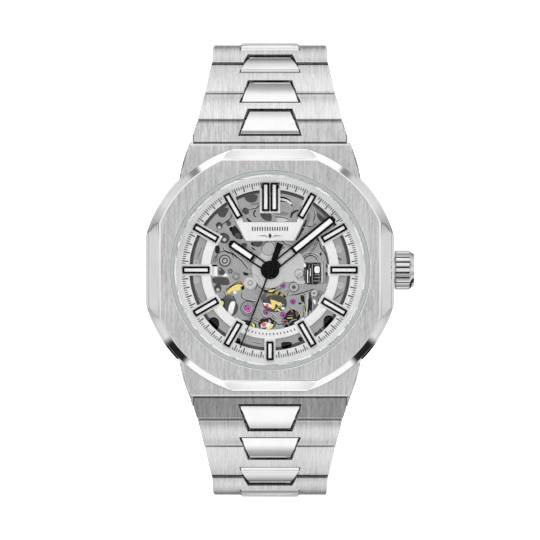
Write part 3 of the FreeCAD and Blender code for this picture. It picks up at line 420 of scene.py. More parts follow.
def reskin(node, material, slot, width=0.0, parts=None, rule=None, extra=()):
    """Rebuilds a node's solids with finished edges.

    parts(low, high) names each solid and may pick its material; rule paints faces.
    """
    bm = clean_copy(node)
    counts = {}
    out = []
    for group in islands(bm):
        low, high = size_of(group)
        label, own = (parts(low, high) if parts else ("", None))
        counts[label] = counts.get(label, 0) + 1
        name = "%s_%s%d" % (node, label + "_" if label else "", counts[label])
        obj = piece_from(group, name)
        paint(obj, own or material, *extra)
        if rule:
            sort_faces(obj, rule)
        finish_edges(obj, width)
        mount(obj, BODY_OF[node], slot, node)
        out.append(obj)
    bm.free()
    return out


def outline_piece(name, loops, h0, h1, material, body, slot):
    """A flat plate from many closed loops, filled by a curve."""
    curve = bpy.data.curves.new(name, "CURVE")
    curve.dimensions = "2D"
    curve.fill_mode = "BOTH"
    curve.extrude = (h1 - h0) / 2 * MM
    for loop in loops:
        spline = curve.splines.new("POLY")
        spline.points.add(len(loop) - 1)
        for point, (x, y) in zip(spline.points, loop):
            point.co = (x * MM, y * MM, 0, 1)
        spline.use_cyclic_u = True
    holder = bpy.data.objects.new(name + "_outline", curve)
    mesh = bpy.data.meshes.new_from_object(holder)
    bpy.data.objects.remove(holder)
    mesh.name = name
    bm = bmesh.new()
    bm.from_mesh(mesh)
    bmesh.ops.remove_doubles(bm, verts=bm.verts, dist=1e-7)
    middle = (h0 + h1) / 2 * MM
    for v in bm.verts:
        v.co = Vector((v.co.x, -(v.co.z + middle), v.co.y))
    bm.to_mesh(mesh)
    bm.free()
    obj = new_object(name, mesh)
    paint(obj, material)
    finish_edges(obj, 0.0)
    return mount(obj, body, slot)


def oval(x, y, a, b, steps=40):
    """Points round an ellipse with half sizes a and b."""
    return [(x + a * math.cos(2 * math.pi * i / steps), y + b * math.sin(2 * math.pi * i / steps))
            for i in range(steps)]


def circle(x, y, r, steps=48):
    return oval(x, y, r, r, steps)


def bar(r0, r1, width, degrees, offset=0.0):
    """Rectangle along a radius, as four points."""
    a = math.radians(degrees)
    out = []
    for r, s in ((r0, -1), (r0, 1), (r1, 1), (r1, -1)):
        u = offset + s * width / 2
        out.append((u * math.cos(a) + r * math.sin(a), r * math.cos(a) - u * math.sin(a)))
    return out


# ----------------------------------------------------------------- the case
def case_rule(n, c):
    """Brushed front and flanks, polished narrow chamfers."""
    if abs(n.y) > 0.95:
        return 0
    return 1 if abs(n.y) > 0.2 else 2


def bezel_rule(n, c):
    """Brushed front, polished slope and brushed flanks."""
    if n.y < -0.95:
        return 0
    return 1 if n.y < -0.2 else 2


for node, rule in (("case_middle", case_rule), ("bezel", bezel_rule)):
    for obj in reskin(node, "steel", "brushed_steel", 0.0, rule=rule,
                      extra=("mirror", "steel_flank")):
        finish_edges(obj, 0.14, segments=3, trim="mirror")
for row in (("crystal", "glass", "crystal_glass", 0.05),
            ("crystal_gasket", "gasket", "gasket_grey", 0.06),
            ("rehaut", "rehaut", "polished_steel", 0.03),
            ("case_back", "steel", "brushed_steel", 0.08),
            ("case_back_crystal", "glass", "crystal_glass", 0.05),
            ("crown_tube", "mirror", "polished_steel", 0.05),
            ("crown_seal", "rubber", "rubber_black", 0.08)):
    reskin(*row)


def flute_rule(n, c):
    """Painted shade: dark steel in the valleys between the crown's flutes."""
    return 1 if math.hypot(c.z, c.y - CROWN_AXIS) < CROWN_VALLEY and abs(n.x) < 0.3 else 0


crown_points = [v.co / MM for v in NODES["crown"].data.vertices]
CROWN_AXIS = (min(v.y for v in crown_points) + max(v.y for v in crown_points)) / 2
CROWN_RADIUS = (max(v.z for v in crown_points) - min(v.z for v in crown_points)) / 2
CROWN_VALLEY = CROWN_RADIUS - 0.12
reskin("crown", "crown", "polished_steel", 0.05, rule=flute_rule, extra=("edge",))
reskin("winding_stem", "wheel", "movement_steel", 0.03)
reskin("movement_ring", "plate", "movement_steel", 0.05)


# -------------------------------------------------------------- the bracelet
LOOP_CENTRE = Vector((0.0, 12.0, 0.0))
SKIN = 0.7            # depth below a piece's outer face that shaping reaches, in mm
LINKS = 8             # links on each half of the bracelet; the last one meets the clasp


def outer_face(obj):
    """Outward normal of a bracelet piece's broadest outer face, with no sideways part."""
    areas = {}
    for poly in obj.data.polygons:
        n = poly.normal
        away = (poly.center / MM - LOOP_CENTRE).normalized()
        if abs(n.x) < 0.05 and n.dot(away) > 0.4:      # square to x, and facing outwards
            key = (round(n.y, 2), round(n.z, 2))
            areas[key] = areas.get(key, 0.0) + poly.area
    y, z = max(areas, key=areas.get)
    return Vector((0.0, y, z)).normalized()


def local_frame(obj):
    """Outward and along directions of a piece, and its spans across, along and outwards."""
    out = outer_face(obj)
    along = Vector((1, 0, 0)).cross(out)
    points = [v.co / MM for v in obj.data.vertices]
    spans = []
    for axis in (Vector((1, 0, 0)), along, out):
        values = [p.dot(axis) for p in points]
        spans.append((min(values), max(values)))
    return out, along, spans


def seat_gap(obj, node, depth):
    """A black sheet of painted shade just under a piece's outer face, seen only in the gaps round
    it.
    """
    out, _, spans = local_frame(obj)
    top = spans[2][1]
    copy = new_object(obj.name + "_seat", obj.data.copy())
    bm = bmesh.new()
    bm.from_mesh(copy.data)
    inner = [f for f in bm.faces
             if f.normal.dot(out) < 0.6
             or top - (f.calc_center_median() / MM).dot(out) > SKIN]
    bmesh.ops.delete(bm, geom=inner, context="FACES")
    for v in bm.verts:
        v.co -= out * depth * MM
    bm.to_mesh(copy.data)
    bm.free()
    paint(copy, "gap")
    return mount(copy, BODY_OF[node], "brushed_steel")


def pillow(obj, gap_x, gap_t, dome, power, cuts=(6, 12), shift=0.0):
    """Shrinks a piece inside its seat and rounds its outer face along the bracelet.

    gap_x and gap_t come off each side and each end. The face drops by dome at its
    ends, and shift moves the crest off the middle. cuts is the grid across and along.
    """
    out, along, spans = local_frame(obj)
    (x0, x1), (t0, t1), (_, n1) = spans
    side = Vector((1, 0, 0))
    mid_x, mid_t = (x0 + x1) / 2, (t0 + t1) / 2
    half_x, half_t = (x1 - x0) / 2, (t1 - t0) / 2
    bm = bmesh.new()
    bm.from_mesh(obj.data)
    for v in bm.verts:
        p = v.co / MM
        dx = (p.x - mid_x) * (-gap_x / half_x)
        dt = (p.dot(along) - mid_t) * (-gap_t / half_t)
        v.co += (side * dx + along * dt) * MM
    for axis, low, high, count in ((side, x0 + gap_x, x1 - gap_x, cuts[0]),
                                   (along, t0 + gap_t, t1 - gap_t, cuts[1])):
        for k in range(1, count):
            place = axis * (low + (high - low) * k / count) * MM
            bmesh.ops.bisect_plane(bm, geom=bm.verts[:] + bm.edges[:] + bm.faces[:],
                                   plane_co=place, plane_no=axis, dist=1e-7)
    for v in bm.verts:
        p = v.co / MM
        below = n1 - p.dot(out)
        weight = max(0.0, 1.0 - below / SKIN)
        u = (p.dot(along) - mid_t) / (half_t - gap_t)
        fall = dome * abs(u + shift) ** power
        v.co -= out * weight * fall * MM
    bm.to_mesh(obj.data)
    bm.free()
    return obj


def link_parts(low, high):
    """Tells a link's solids apart by their sizes."""
    size = high - low
    if size.y < 1.0 and size.z < 1.0:
        return ("hinge_pin", "pin") if size.y > 0.7 else ("fixed_pin", "pin")
    if size.x < 10.5:
        return "centre", "mirror"
    return "wide", "steel"


def end_parts(low, high):
    """Tells an end link's spring bar from its body."""
    size = high - low
    return ("spring_bar", "pin") if size.y < 1.0 else ("body", "steel")


def dress_link(node, number):
    """Domed brushed wide piece in a lighter copy of the steel as painted light, with rounded edges
    of painted shade, and a polished cushion, each over a dark seat of painted shade.
    """
    for obj in reskin(node, "steel", "brushed_steel", 0.0, link_parts):
        if "centre" in obj.name:
            seat_gap(obj, node, 0.3)
            far = -0.6 if node.startswith("upper") else 0.6     # crest towards the case
            pillow(obj, 0.24, 0.2, 0.08 if number == 1 else 0.13, 2, shift=far)
            finish_edges(obj, 0.3, segments=5)
        elif "wide" in obj.name:
            seat_gap(obj, node, 0.25)
            # painted light: the wide piece takes the lighter copy of the brushed steel
            paint(obj, "steel_painted_lit")
            pillow(obj, 0.0, 0.25 if number < LINKS else 0.0, 0.2, 3, (1, 14))
            finish_edges(obj, 0.26, segments=3, trim="edge")
        else:
            finish_edges(obj, 0.05)


for side in ("upper", "lower"):
    for number in range(1, LINKS + 1):
        dress_link("%s_link_%d" % (side, number), number)
    for obj in reskin(side + "_end_link", "steel", "brushed_steel", 0.0, end_parts):
        # the end links' rounded edges take the dark steel as painted shade
        finish_edges(obj, 0.10, trim=None if "spring" in obj.name else "edge")


def clasp_parts(low, high):
    """Tells the clasp's hinge pins from its blades."""
    size = high - low
    return ("pin", "pin") if size.y < 1.0 and size.z < 1.0 else ("body", "steel")


for node in ("clasp_cover", "clasp_blade_a", "clasp_blade_b"):
    reskin(node, "steel", "brushed_steel", 0.10, clasp_parts)
for node in ("push_button_left", "push_button_right"):
    reskin(node, "mirror", "polished_steel", 0.08)


# ------------------------------------------------------------------ the dial
HANDS = {"hour": 304.3, "minute": 50.9}     # clock angles of the hands at rest

reskin("dial", "dial", "dial_silver", 0.03)


def framed(top):
    """Black frames with the pale filling a little below their top."""
    return lambda n, c: 1 if n.y < -0.9 and c.y > 0.02 - top else 0


for node, top in (("hour_markers", 8.15), ("hour_hand", 8.32), ("minute_hand", 8.64)):
    reskin(node, "black", "marker_black", 0.03, rule=framed(top), extra=("lume_and_highlight",))
reskin("seconds_hand", "black", "hand_black", 0.02)

TICK_TIP = 14.2
ticks = []
for i in range(240):                        # four to the minute, with room for the markers
    degrees = 1.5 * i
    near = min(abs((degrees - a + 180) % 360 - 180) for a in range(0, 360, 30))
    if near < (5.6 if degrees > 350 or degrees < 10 else 3.2):
        continue
    if i % 4 == 0:
        ticks.append(bar(13.2, TICK_TIP, 0.19, degrees))
    else:
        ticks.append(bar(13.7, TICK_TIP, 0.14, degrees))

# plain shapes where the real watch has print: wings and a lozenge, a row of bars
# on the top plate, and strokes on the inner ring
for x in (-0.5, 0.5):
    ticks.append([(x * 0.55, 5.2), (x * 1.5, 5.42), (x * 4.6, 5.5), (x * 1.5, 5.58)])
ticks.append([(0.0, 5.02), (0.3, 5.5), (0.0, 5.98), (-0.3, 5.5)])
for step in range(-7, 8):
    left, right = 0.4 * step - 0.1, 0.4 * step + 0.1
    ticks.append([(left, 6.3), (right, 6.3), (right, 6.95), (left, 6.95)])
    ticks.append(bar(10.15, 10.5, 0.16, 180 + 3.2 * step))
outline_piece("minute_track", ticks, 7.902, 7.912, "print", "case", "marker_black")


# ------------------------------------------------------------- the movement
def facing(n, c):
    """Painted shade on the faces towards the dial, finished faces towards the case back."""
    return 0 if n.y < -0.5 else 1


def plate_rule(n, c):
    """Satin front face, with painted shade on everything lower down."""
    return 0 if n.y < -0.5 and c.y < -7.0 else 1


reskin("main_plate", "plate", "movement_steel", 0.04, extra=("deep_shade",), rule=plate_rule)
reskin("motion_cover", "bridge", "movement_steel", 0.05)
for node in ("train_bridge", "balance_cock"):
    reskin(node, "deep_shade", "movement_steel", 0.04, extra=("stripes",), rule=facing)
reskin("barrel", "deep_shade", "movement_steel", 0.03, extra=("wheel",), rule=facing)
reskin("movement_screws", "screw", "polished_steel", 0.03)
reskin("keyless_works", "bridge", "movement_steel", 0.03)
for node in ("centre_wheel", "hour_wheel", "minute_wheel", "seconds_pinion", "escape_wheel"):
    reskin(node, "wheel", "movement_steel")
for node in ("third_wheel", "fourth_wheel"):
    reskin(node, "gilt", "brass_gilt")
reskin("balance_wheel", "gilt", "brass_gilt", 0.03)
reskin("hairspring", "spring", "blued_grey_spring")
reskin("rotor", "stripes", "movement_steel", 0.05)
reskin("rotor_bearing", "wheel", "movement_steel", 0.04)


def jewel_parts(low, high):
    """Tells metal settings, cap stones and pierced stones apart by their width."""
    across = high.x - low.x
    if across > 1.4:
        return "setting", "screw"
    return ("cap", "magenta") if across > 1.0 else ("hole", "ruby")


def pallet_parts(low, high):
    """Tells the pallet stones from the lever."""
    return ("stone", "red") if high.x - low.x < 0.4 else ("lever", None)


reskin("jewels", "ruby", "ruby", 0.03, jewel_parts)
reskin("pallet_fork", "wheel", "movement_steel", 0.0, pallet_parts)


def stroke(points, width):
    """Closed loop round an open line, tapering a little at its ends."""
    left, right = [], []
    for i, (x, y) in enumerate(points):
        x0, y0 = points[max(i - 1, 0)]
        x1, y1 = points[min(i + 1, len(points) - 1)]
        length = math.hypot(x1 - x0, y1 - y0)
        w = width / 2 * (0.55 if i in (0, len(points) - 1) else 1.0)
        nx, ny = (y0 - y1) / length * w, (x1 - x0) / length * w
        left.append((x + nx, y + ny))
        right.append((x - nx, y - ny))
    return left + right[::-1]


def arc(x, y, r, a0, a1):
    """Points along an arc between two clock angles."""
    out = []
    steps = 14
    for i in range(steps + 1):
        dx, dy = clock(r, a0 + (a1 - a0) * i / steps)
        out.append((x + dx, y + dy))
    return out


def soft(points, times=1):
    """Corner cutting, for outlines with soft corners."""
    for _ in range(times):
        out = []
        for i, (x0, y0) in enumerate(points):
            x1, y1 = points[(i + 1) % len(points)]
            out += [(0.78 * x0 + 0.22 * x1, 0.78 * y0 + 0.22 * y1),
                    (0.22 * x0 + 0.78 * x1, 0.22 * y0 + 0.78 * y1)]
        points = out
    return points


def slabs(name, loops, h0, h1, material, edge=0.0, slot="movement_steel", body="case"):
    """Flat pieces, one for each outline, as one object; a pair of loops makes a ring.

    Unlike outline_piece, overlapping outlines stay separate and lie over each other.
    """
    bm = bmesh.new()
    for loop in loops:
        pair = loop if isinstance(loop[0], list) else [loop]
        rows = []
        for outline in pair:
            rows.append(([bm.verts.new(at(x, y, h0)) for x, y in outline],
                         [bm.verts.new(at(x, y, h1)) for x, y in outline]))
        for low, high in rows:
            for i in range(len(low)):
                k = (i + 1) % len(low)
                bm.faces.new((low[i], low[k], high[k], high[i]))
        if len(rows) == 1:
            bm.faces.new(rows[0][1])
            bm.faces.new(rows[0][0][::-1])
        else:
            for a, b in ((rows[0][1], rows[1][1]), (rows[0][0], rows[1][0])):
                for i in range(len(a)):
                    k = (i + 1) % len(a)
                    bm.faces.new((a[i], a[k], b[k], b[i]))
    bmesh.ops.recalc_face_normals(bm, faces=bm.faces)
    obj = object_from(bm, name)
    paint(obj, material)
    finish_edges(obj, edge)
    return mount(obj, body, slot)


def ring(x, y, r, r_in, steps=48):
    """Outer and inner outline of a ring."""
    return [circle(x, y, r, steps), circle(x, y, r_in, steps)]


def sweep_ring(x, y, r, r_in, a0, a1):
    """Part of a ring between two clock angles."""
    return arc(x, y, r, a0, a1) + arc(x, y, r_in, a0, a1)[::-1]


# The movement's small parts lie over each other on the main plate. Each rises
# from FOOT, just inside the plate, and the higher one shows.
PLATE_TOP = 7.2       # front of the main plate; the dial's back is at 7.5
FOOT = PLATE_TOP - 0.02
LOW, MID, HIGH = PLATE_TOP + 0.012, PLATE_TOP + 0.05, PLATE_TOP + 0.16

# openings as black sheets of painted shade, over two patches that close rough openings of the plate
dark = [
    soft([(-5.88, 7.11), (-6.21, 6.38), (-6.14, 5.71), (-5.48, 5.11), (-4.68, 4.91),
          (-4.27, 5.04), (-4.94, 6.38), (-5.61, 7.18)], 2),
    soft([(-8.75, 4.25), (-8.3, 4.1), (-8.0, 3.3), (-8.2, 2.65), (-8.9, 2.7)]),
    soft([(-4.0, 8.5), (-3.5, 8.3), (-2.8, 7.65), (-3.4, 7.65)]),
    soft([(-3.07, 3.75), (-2.7, 3.6), (-2.2, 3.15), (-2.75, 3.25)]),
    soft([(-4.35, -0.3), (-4.3, -0.75), (-3.9, -0.95), (-3.35, -0.85), (-3.5, -0.5)]),
    soft([(8.0, 2.85), (8.35, 2.75), (8.3, 2.3), (8.0, 2.35)]),
    soft([(9.0, 0.95), (9.35, 0.8), (9.35, 0.35), (9.05, 0.35)]),
    soft([(9.0, -0.3), (9.4, -0.45), (9.4, -0.9), (9.0, -0.95)]),
    soft([(4.55, -5.2), (5.15, -5.25), (5.0, -5.6), (4.6, -5.55)]),
    soft([(4.9, -4.0), (5.45, -4.1), (5.6, -4.9), (5.35, -5.3), (4.95, -4.9)]),
    soft([(6.45, -5.6), (6.85, -5.6), (6.8, -6.65), (6.45, -6.65)]),
    soft([(7.85, -4.7), (8.4, -4.65), (8.35, -5.2), (7.9, -5.2)]),
    soft([(4.95, -7.9), (5.5, -8.0), (5.3, -8.5), (4.85, -8.4)]),
    soft([(-5.48, -8.06), (-3.2, -8.06), (-3.07, -8.66), (-3.34, -9.2), (-4.94, -8.53)]),
    arc(9.6, -8.6, 1.05, -70, 250), arc(-9.15, -8.75, 1.0, -90, 230),
    soft([(1.75, -11.75), (3.6, -11.75), (3.5, -12.3), (2.9, -12.5), (2.5, -12.9), (1.9, -12.6)], 2),
    circle(-5.1, -11.5, 0.4), circle(4.9, -11.1, 0.38),
    soft([(1.5, 11.9), (2.45, 11.76), (3.15, 11.35), (3.55, 10.85), (3.68, 10.3), (3.5, 10.25),
          (3.3, 10.6), (2.6, 10.95), (1.5, 10.98)]),
]
slabs("plate_patches", [circle(2.0, 10.7, 1.95), circle(6.8, 8.0, 0.75)],
      FOOT, LOW - 0.003, "plate")
slabs("plate_openings", dark, FOOT, LOW, "deep_shade")

# shallower pockets as dark grey sheets of painted shade
shade = [
    circle(-3.87, 9.45, 0.52), circle(-8.15, 7.05, 0.52), circle(-6.64, 7.46, 0.40),
    circle(-4.07, 3.98, 0.40), circle(-8.39, -3.0, 0.58), circle(-7.35, 5.1, 0.84),
    circle(-5.2, 5.5, 0.5), arc(-2.0, 4.55, 0.85, 90, 270),
    soft([(-4.2, 11.8), (-3.9, 11.2), (-3.3, 10.85), (-2.6, 10.85), (-2.1, 11.2), (-1.9, 12.1),
          (-3.0, 12.2)], 2),
    soft([(-8.6, 9.2), (-8.1, 8.5), (-7.3, 8.45), (-6.9, 9.1), (-6.6, 10.0), (-7.4, 10.1)], 2),
    soft([(-1.75, 9.2), (0.3, 9.2), (0.3, 7.9), (-0.4, 7.85), (-1.3, 8.3)], 2),
    soft([(-9.35, -1.2), (-7.9, -1.1), (-6.7, -1.25), (-6.4, -2.3), (-7.2, -2.5), (-9.2, -2.2)], 2),
    arc(-6.6, -6.05, 1.5, -70, 250),
    soft([(-7.95, 0.5), (-7.3, -0.1), (-7.1, -0.75), (-8.3, -0.8), (-8.35, 0.3)]),
    soft([(8.4, 3.4), (9.0, 2.1), (9.3, 0.5), (9.5, 0.5), (9.25, 2.2), (8.6, 3.6)]),
    soft([(7.45, 9.1), (7.7, 9.2), (8.6, 8.45), (9.2, 8.1), (8.4, 7.75), (7.8, 8.1)]),
]
slabs("plate_pockets", shade, FOOT, LOW + 0.004, "shade")

# grooves between the plates as black strokes of painted shade, each with a pale stroke of painted
# highlight beside it
lines = [
    ([(-3.34, 9.72), (-2.14, 10.0), (-1.55, 10.5)], 0.17),
    ([(-7.7, 7.35), (-7.1, 7.75), (-6.4, 8.25), (-6.0, 9.2)], 0.15),
    ([(-8.4, 6.45), (-8.85, 5.8)], 0.14),
    (arc(-2.05, 9.1, 0.55, 200, 340), 0.2),
    (arc(-7.28, 1.5, 1.55, 285, 430), 0.13),
    ([(-7.6, 3.7), (-7.35, 3.1), (-6.7, 2.75), (-6.0, 2.6), (-5.3, 1.9)], 0.14),
    ([(-6.5, 3.15), (-5.6, 2.4), (-4.6, 1.55), (-3.9, 0.7), (-3.5, 0.1)], 0.16),
    ([(3.35, 8.4), (3.5, 9.0), (3.9, 9.4), (4.6, 9.65)], 0.34),
    ([(0.8, 8.6), (1.8, 8.55), (3.0, 8.2)], 0.14),
    ([(5.9, 8.1), (5.4, 6.9), (4.9, 5.85), (4.2, 4.8)], 0.3),
    ([(5.85, 7.25), (6.45, 6.95), (7.0, 7.1)], 0.2),
    ([(7.0, 9.9), (7.3, 8.9), (7.05, 8.0), (7.2, 7.3)], 0.13),
    ([(7.9, 4.5), (8.25, 3.5), (8.75, 2.9)], 0.2),
    (arc(6.55, 1.2, 1.15, 285, 435), 0.16),
    (arc(6.55, 1.2, 1.5, 300, 420), 0.1),
    ([(2.1, -1.15), (2.5, -0.98), (2.95, -1.1), (3.3, -1.7)], 0.2),
    ([(3.5, -0.1), (3.2, 0.6), (3.4, 1.3)], 0.11),
    ([(3.42, -3.99), (4.2, -3.95), (5.02, -3.72), (7.16, -2.98)], 0.18),
    ([(2.35, -3.35), (3.0, -3.3), (2.7, -4.3), (3.4, -4.0)], 0.1),
    ([(-4.54, -3.6), (-4.6, -4.35), (-4.0, -4.79), (-2.94, -4.99), (-2.0, -5.19)], 0.15),
    ([(-2.67, -8.06), (-1.6, -8.46), (-1.07, -8.0), (-0.13, -7.66), (0.7, -8.2), (1.4, -8.75),
      (2.3, -8.6), (2.75, -8.2)], 0.16),
    ([(-7.45, -3.3), (-7.1, -4.2), (-7.6, -4.7)], 0.12),
    ([(-8.7, -4.1), (-8.2, -4.6)], 0.1),
    ([(5.5, -3.7), (5.55, -5.4), (5.4, -7.9)], 0.16),
    ([(6.38, -3.5), (6.4, -5.4), (6.1, -7.7)], 0.2),
    ([(7.1, -3.35), (6.6, -4.0), (6.75, -5.3), (6.75, -6.9)], 0.12),
    ([(8.0, -3.5), (7.75, -4.2), (7.9, -5.6), (7.5, -6.4)], 0.12),
    (arc(0.2, 0.0, 3.35, 150, 222), 0.13), (arc(0.0, 0.0, 3.3, 48, 84), 0.12),
    ([(3.2, 0.35), (4.0, 1.5), (5.2, 1.9)], 0.12), ([(1.0, 5.3), (2.6, 4.2), (3.6, 3.9)], 0.12),
    ([(-1.3, 4.4), (-0.4, 4.6), (0.5, 4.2), (1.0, 3.3)], 0.13),
    ([(-3.3, 0.2), (-2.2, -1.0), (-2.0, -2.2), (-2.4, -3.3)], 0.12),
    ([(1.6, 4.3), (2.7, 3.3), (4.6, 3.2)], 0.1),
    ([(8.2, 1.1), (8.2, -2.4)], 0.12), ([(8.65, 1.4), (8.7, -2.3), (8.95, -2.9)], 0.12),
    ([(1.1, -7.7), (0.5, -7.3), (0.1, -6.9)], 0.09), ([(3.0, -5.9), (4.4, -6.8)], 0.08),
    ([(-1.7, -6.3), (-1.2, -7.4), (-0.6, -7.75)], 0.08),
    ([(10.2, -4.9), (10.9, -4.3), (11.9, -3.5)], 0.14), ([(10.6, 2.3), (11.5, 1.6)], 0.3),
    ([(8.0, -9.4), (8.8, -10.0)], 0.2), ([(7.5, -10.0), (7.0, -10.9)], 0.2),
    ([(-10.6, -5.6), (-11.4, -4.6), (-11.9, -3.2)], 0.12), ([(-11.0, 3.6), (-11.7, 1.8)], 0.12),
    ([(-6.6, -10.3), (-5.6, -10.9)], 0.14), ([(-2.8, -11.6), (-1.4, -11.9)], 0.12),
]
slabs("plate_grooves", [stroke(p, 1.1 * w) for p, w in lines], FOOT, MID, "deep_shade")
beside = [([(x + 0.07, y + 0.11) for x, y in p], 0.08) for p, w in lines]
slabs("groove_highlights", [stroke(p, w) for p, w in beside], FOOT, MID - 0.01, "pale")

# raised bosses and strips
raised = [
    ring(-3.2, -2.1, 1.02, 0.42), circle(-3.2, -2.05, 0.3), circle(-7.33, 4.88, 0.3),
    circle(-8.15, 6.85, 0.27), circle(-8.39, -3.2, 0.3), ring(-5.48, -1.0, 0.5, 0.36),
    ring(-2.0, -4.32, 0.3, 0.17), ring(7.1, -3.75, 0.52, 0.2), ring(9.0, -2.6, 0.4, 0.22),
    ring(11.0, 3.2, 0.5, 0.3), ring(-11.9, 1.2, 0.45, 0.25), ring(11.3, -2.5, 0.55, 0.32),
    soft([(0.9, 8.25), (1.9, 8.5), (3.1, 8.05), (2.6, 7.7), (1.2, 7.7)], 2),
    soft([(8.3, 1.1), (8.56, 1.1), (8.6, -2.1), (8.35, -2.1)]),
    stroke([(5.3, 6.9), (5.9, 6.7)], 0.22), stroke([(5.1, 6.1), (5.6, 5.9)], 0.22),
    stroke([(6.0, -3.6), (6.0, -5.4), (5.85, -7.6)], 0.3),
]
# covers and soft shadows almost level with the plate
covers = [
    [(-0.4, 4.6), (0.2, 5.6), (2.2, 5.6), (2.5, 4.3), (1.2, 3.6)],
    [(4.4, 4.9), (5.6, 4.6), (6.9, 3.9), (6.6, 3.1), (5.4, 3.3), (4.5, 4.0)],
    [(-2.3, 3.6), (-1.5, 3.9), (-0.9, 5.1), (-1.3, 5.4), (-3.0, 5.1), (-3.0, 4.7)],
]
slabs("plate_covers", [soft(p) for p in covers], FOOT, PLATE_TOP + 0.006, "plate")
shadows = [
    [(1.5, 1.6), (4.2, 1.9), (7.0, 4.0), (7.3, 5.3), (6.0, 4.7), (3.4, 2.8)],
    [(4.6, 5.6), (5.5, 6.4), (6.6, 8.3), (6.2, 9.6), (5.4, 8.2)],
    [(-2.9, 10.4), (-1.6, 10.6), (-1.6, 10.9), (-3.3, 10.7)],
    [(0.4, 9.1), (2.0, 9.5), (3.2, 9.1), (2.6, 8.75), (1.2, 8.85)],
    [(-7.0, 4.3), (-6.1, 4.5), (-5.0, 3.6), (-5.6, 3.2), (-6.6, 3.9)],
    [(8.75, 4.0), (9.3, 2.4), (9.5, 0.9), (9.2, 0.9), (8.9, 2.4), (8.4, 3.7)],
    [(8.7, -0.2), (9.4, -0.4), (9.1, -2.6), (8.7, -2.4)],
    [(6.6, -3.6), (8.4, -3.1), (8.7, -4.4), (7.8, -6.4), (6.9, -7.1)],
    [(-9.3, 1.2), (-8.5, 1.3), (-8.3, 2.2), (-9.0, 2.4)],
    [(-3.6, -7.6), (-2.0, -7.7), (-1.8, -8.3), (-3.4, -8.0)],
]
corner = [(7.16, 10.25), (7.7, 10.1), (8.76, 9.2), (9.3, 8.4), (8.9, 8.1), (8.2, 7.7),
          (7.7, 8.25), (7.43, 9.2)]
slabs("plate_shadows", [soft(corner, 2)] + [soft(p) for p in shadows], FOOT, PLATE_TOP + 0.01,
      "mid")
slabs("plate_bosses", raised, FOOT, HIGH, "bridge", 0.04)
collars = [
    ring(-7.28, 1.5, 0.98, 0.78), ring(-7.28, 1.5, 0.5, 0.3), ring(-6.38, -0.18, 0.36, 0.2),
    ring(3.85, -2.75, 0.82, 0.72), ring(3.85, -2.75, 0.30, 0.02), ring(-3.55, -6.2, 1.22, 1.12),
    ring(-3.55, -6.2, 0.84, 0.76), ring(-0.26, 3.43, 1.1, 1.0), ring(4.7, -0.6, 0.76, 0.68),
    ring(-5.48, -1.0, 0.56, 0.5), ring(-5.48, -1.0, 0.35, 0.3),
    soft([(-0.05, -4.45), (0.9, -4.55), (1.75, -5.15), (1.5, -5.25), (0.8, -4.9), (0.05, -4.75)]),
]
slabs("dark_collars", collars, FOOT, HIGH + 0.06, "shade")

# teeth of the winding and calendar wheels
teeth = []
for i in range(8):
    k = i / 7.0
    x, y = 7.7 - 1.2 * k, 4.65 - 2.2 * k
    teeth.append(stroke([(x - 0.28, y + 0.12), (x + 0.22, y - 0.1)], 0.13))
for i in range(9):
    x, y = clock(1.45, 10.0 * i)
    teeth.append(stroke([(-3.2 + x, -2.1 + y), (-3.2 + 1.16 * x, -2.1 + 1.16 * y)], 0.09))
for i in range(13):
    k = i / 12.0
    x, y = 0.5 + 1.75 * k, -2.95 + 1.5 * k ** 1.5
    teeth.append(stroke([(x, y), (x + 0.10, y - 0.16)], 0.08))
slabs("wheel_teeth", teeth, FOOT, HIGH + 0.07, "gap")
white_teeth = [stroke([(1.5, 11.4), (2.1, 11.36), (2.7, 11.2), (3.25, 10.9)], 0.26)]
for i in range(5):
    x, y = clock(3.0, 4.0 + 8.6 * i)
    white_teeth.append(circle(1.45 + x, 8.4 + y, 0.2))
for step, loop in enumerate(white_teeth):
    slabs("bright_teeth_%d" % step, [loop], FOOT, MID + 0.002 * step, "lume_and_highlight")

# the keyless works beside the stem, as bright bars over a floor of painted shade
slabs("keyless_floor", [soft([(5.42, 1.1), (8.16, 1.1), (8.16, -2.32), (5.42, -2.32)])],
      FOOT, HIGH + 0.045, "deep_shade")
slabs("keyless_bars", [
    stroke([(6.05, 0.0), (6.05, -2.1)], 0.26), stroke([(6.55, 0.3), (6.5, -1.0)], 0.18),
    soft([(7.16, 0.62), (8.0, 0.62), (8.0, -0.5), (7.16, -0.5)]),
    soft([(5.35, 0.95), (5.75, 1.1), (5.8, 0.5), (5.5, 0.4)]),
], HIGH + 0.02, HIGH + 0.08, "lume_and_highlight")
strips = [
    ([(5.62, 0.2), (5.62, -2.2)], 0.12), ([(6.3, 0.9), (6.3, -2.2)], 0.1),
    ([(6.82, 1.0), (6.82, -2.2)], 0.16), ([(7.2, -0.75), (8.05, -0.75)], 0.16),
    ([(7.1, -1.2), (8.1, -1.2)], 0.2), ([(7.0, -1.75), (8.1, -1.75)], 0.2),
    ([(7.0, 0.85), (8.1, 0.85)], 0.14), ([(7.9, 0.9), (7.9, -2.2)], 0.1),
    ([(1.0, -6.25), (1.55, -5.8), (2.3, -5.5)], 0.2), ([(1.4, -5.9), (1.9, -6.3)], 0.13),
    ([(3.0, -8.6), (3.5, -8.1), (4.3, -7.9)], 0.17), ([(2.65, -8.2), (2.95, -8.75)], 0.14),
    ([(2.8, -7.35), (3.7, -7.3)], 0.13), ([(4.15, -6.9), (4.4, -7.5)], 0.16),
]
slabs("keyless_strips", [stroke(p, w) for p, w in strips], HIGH + 0.02, HIGH + 0.07, "plate")

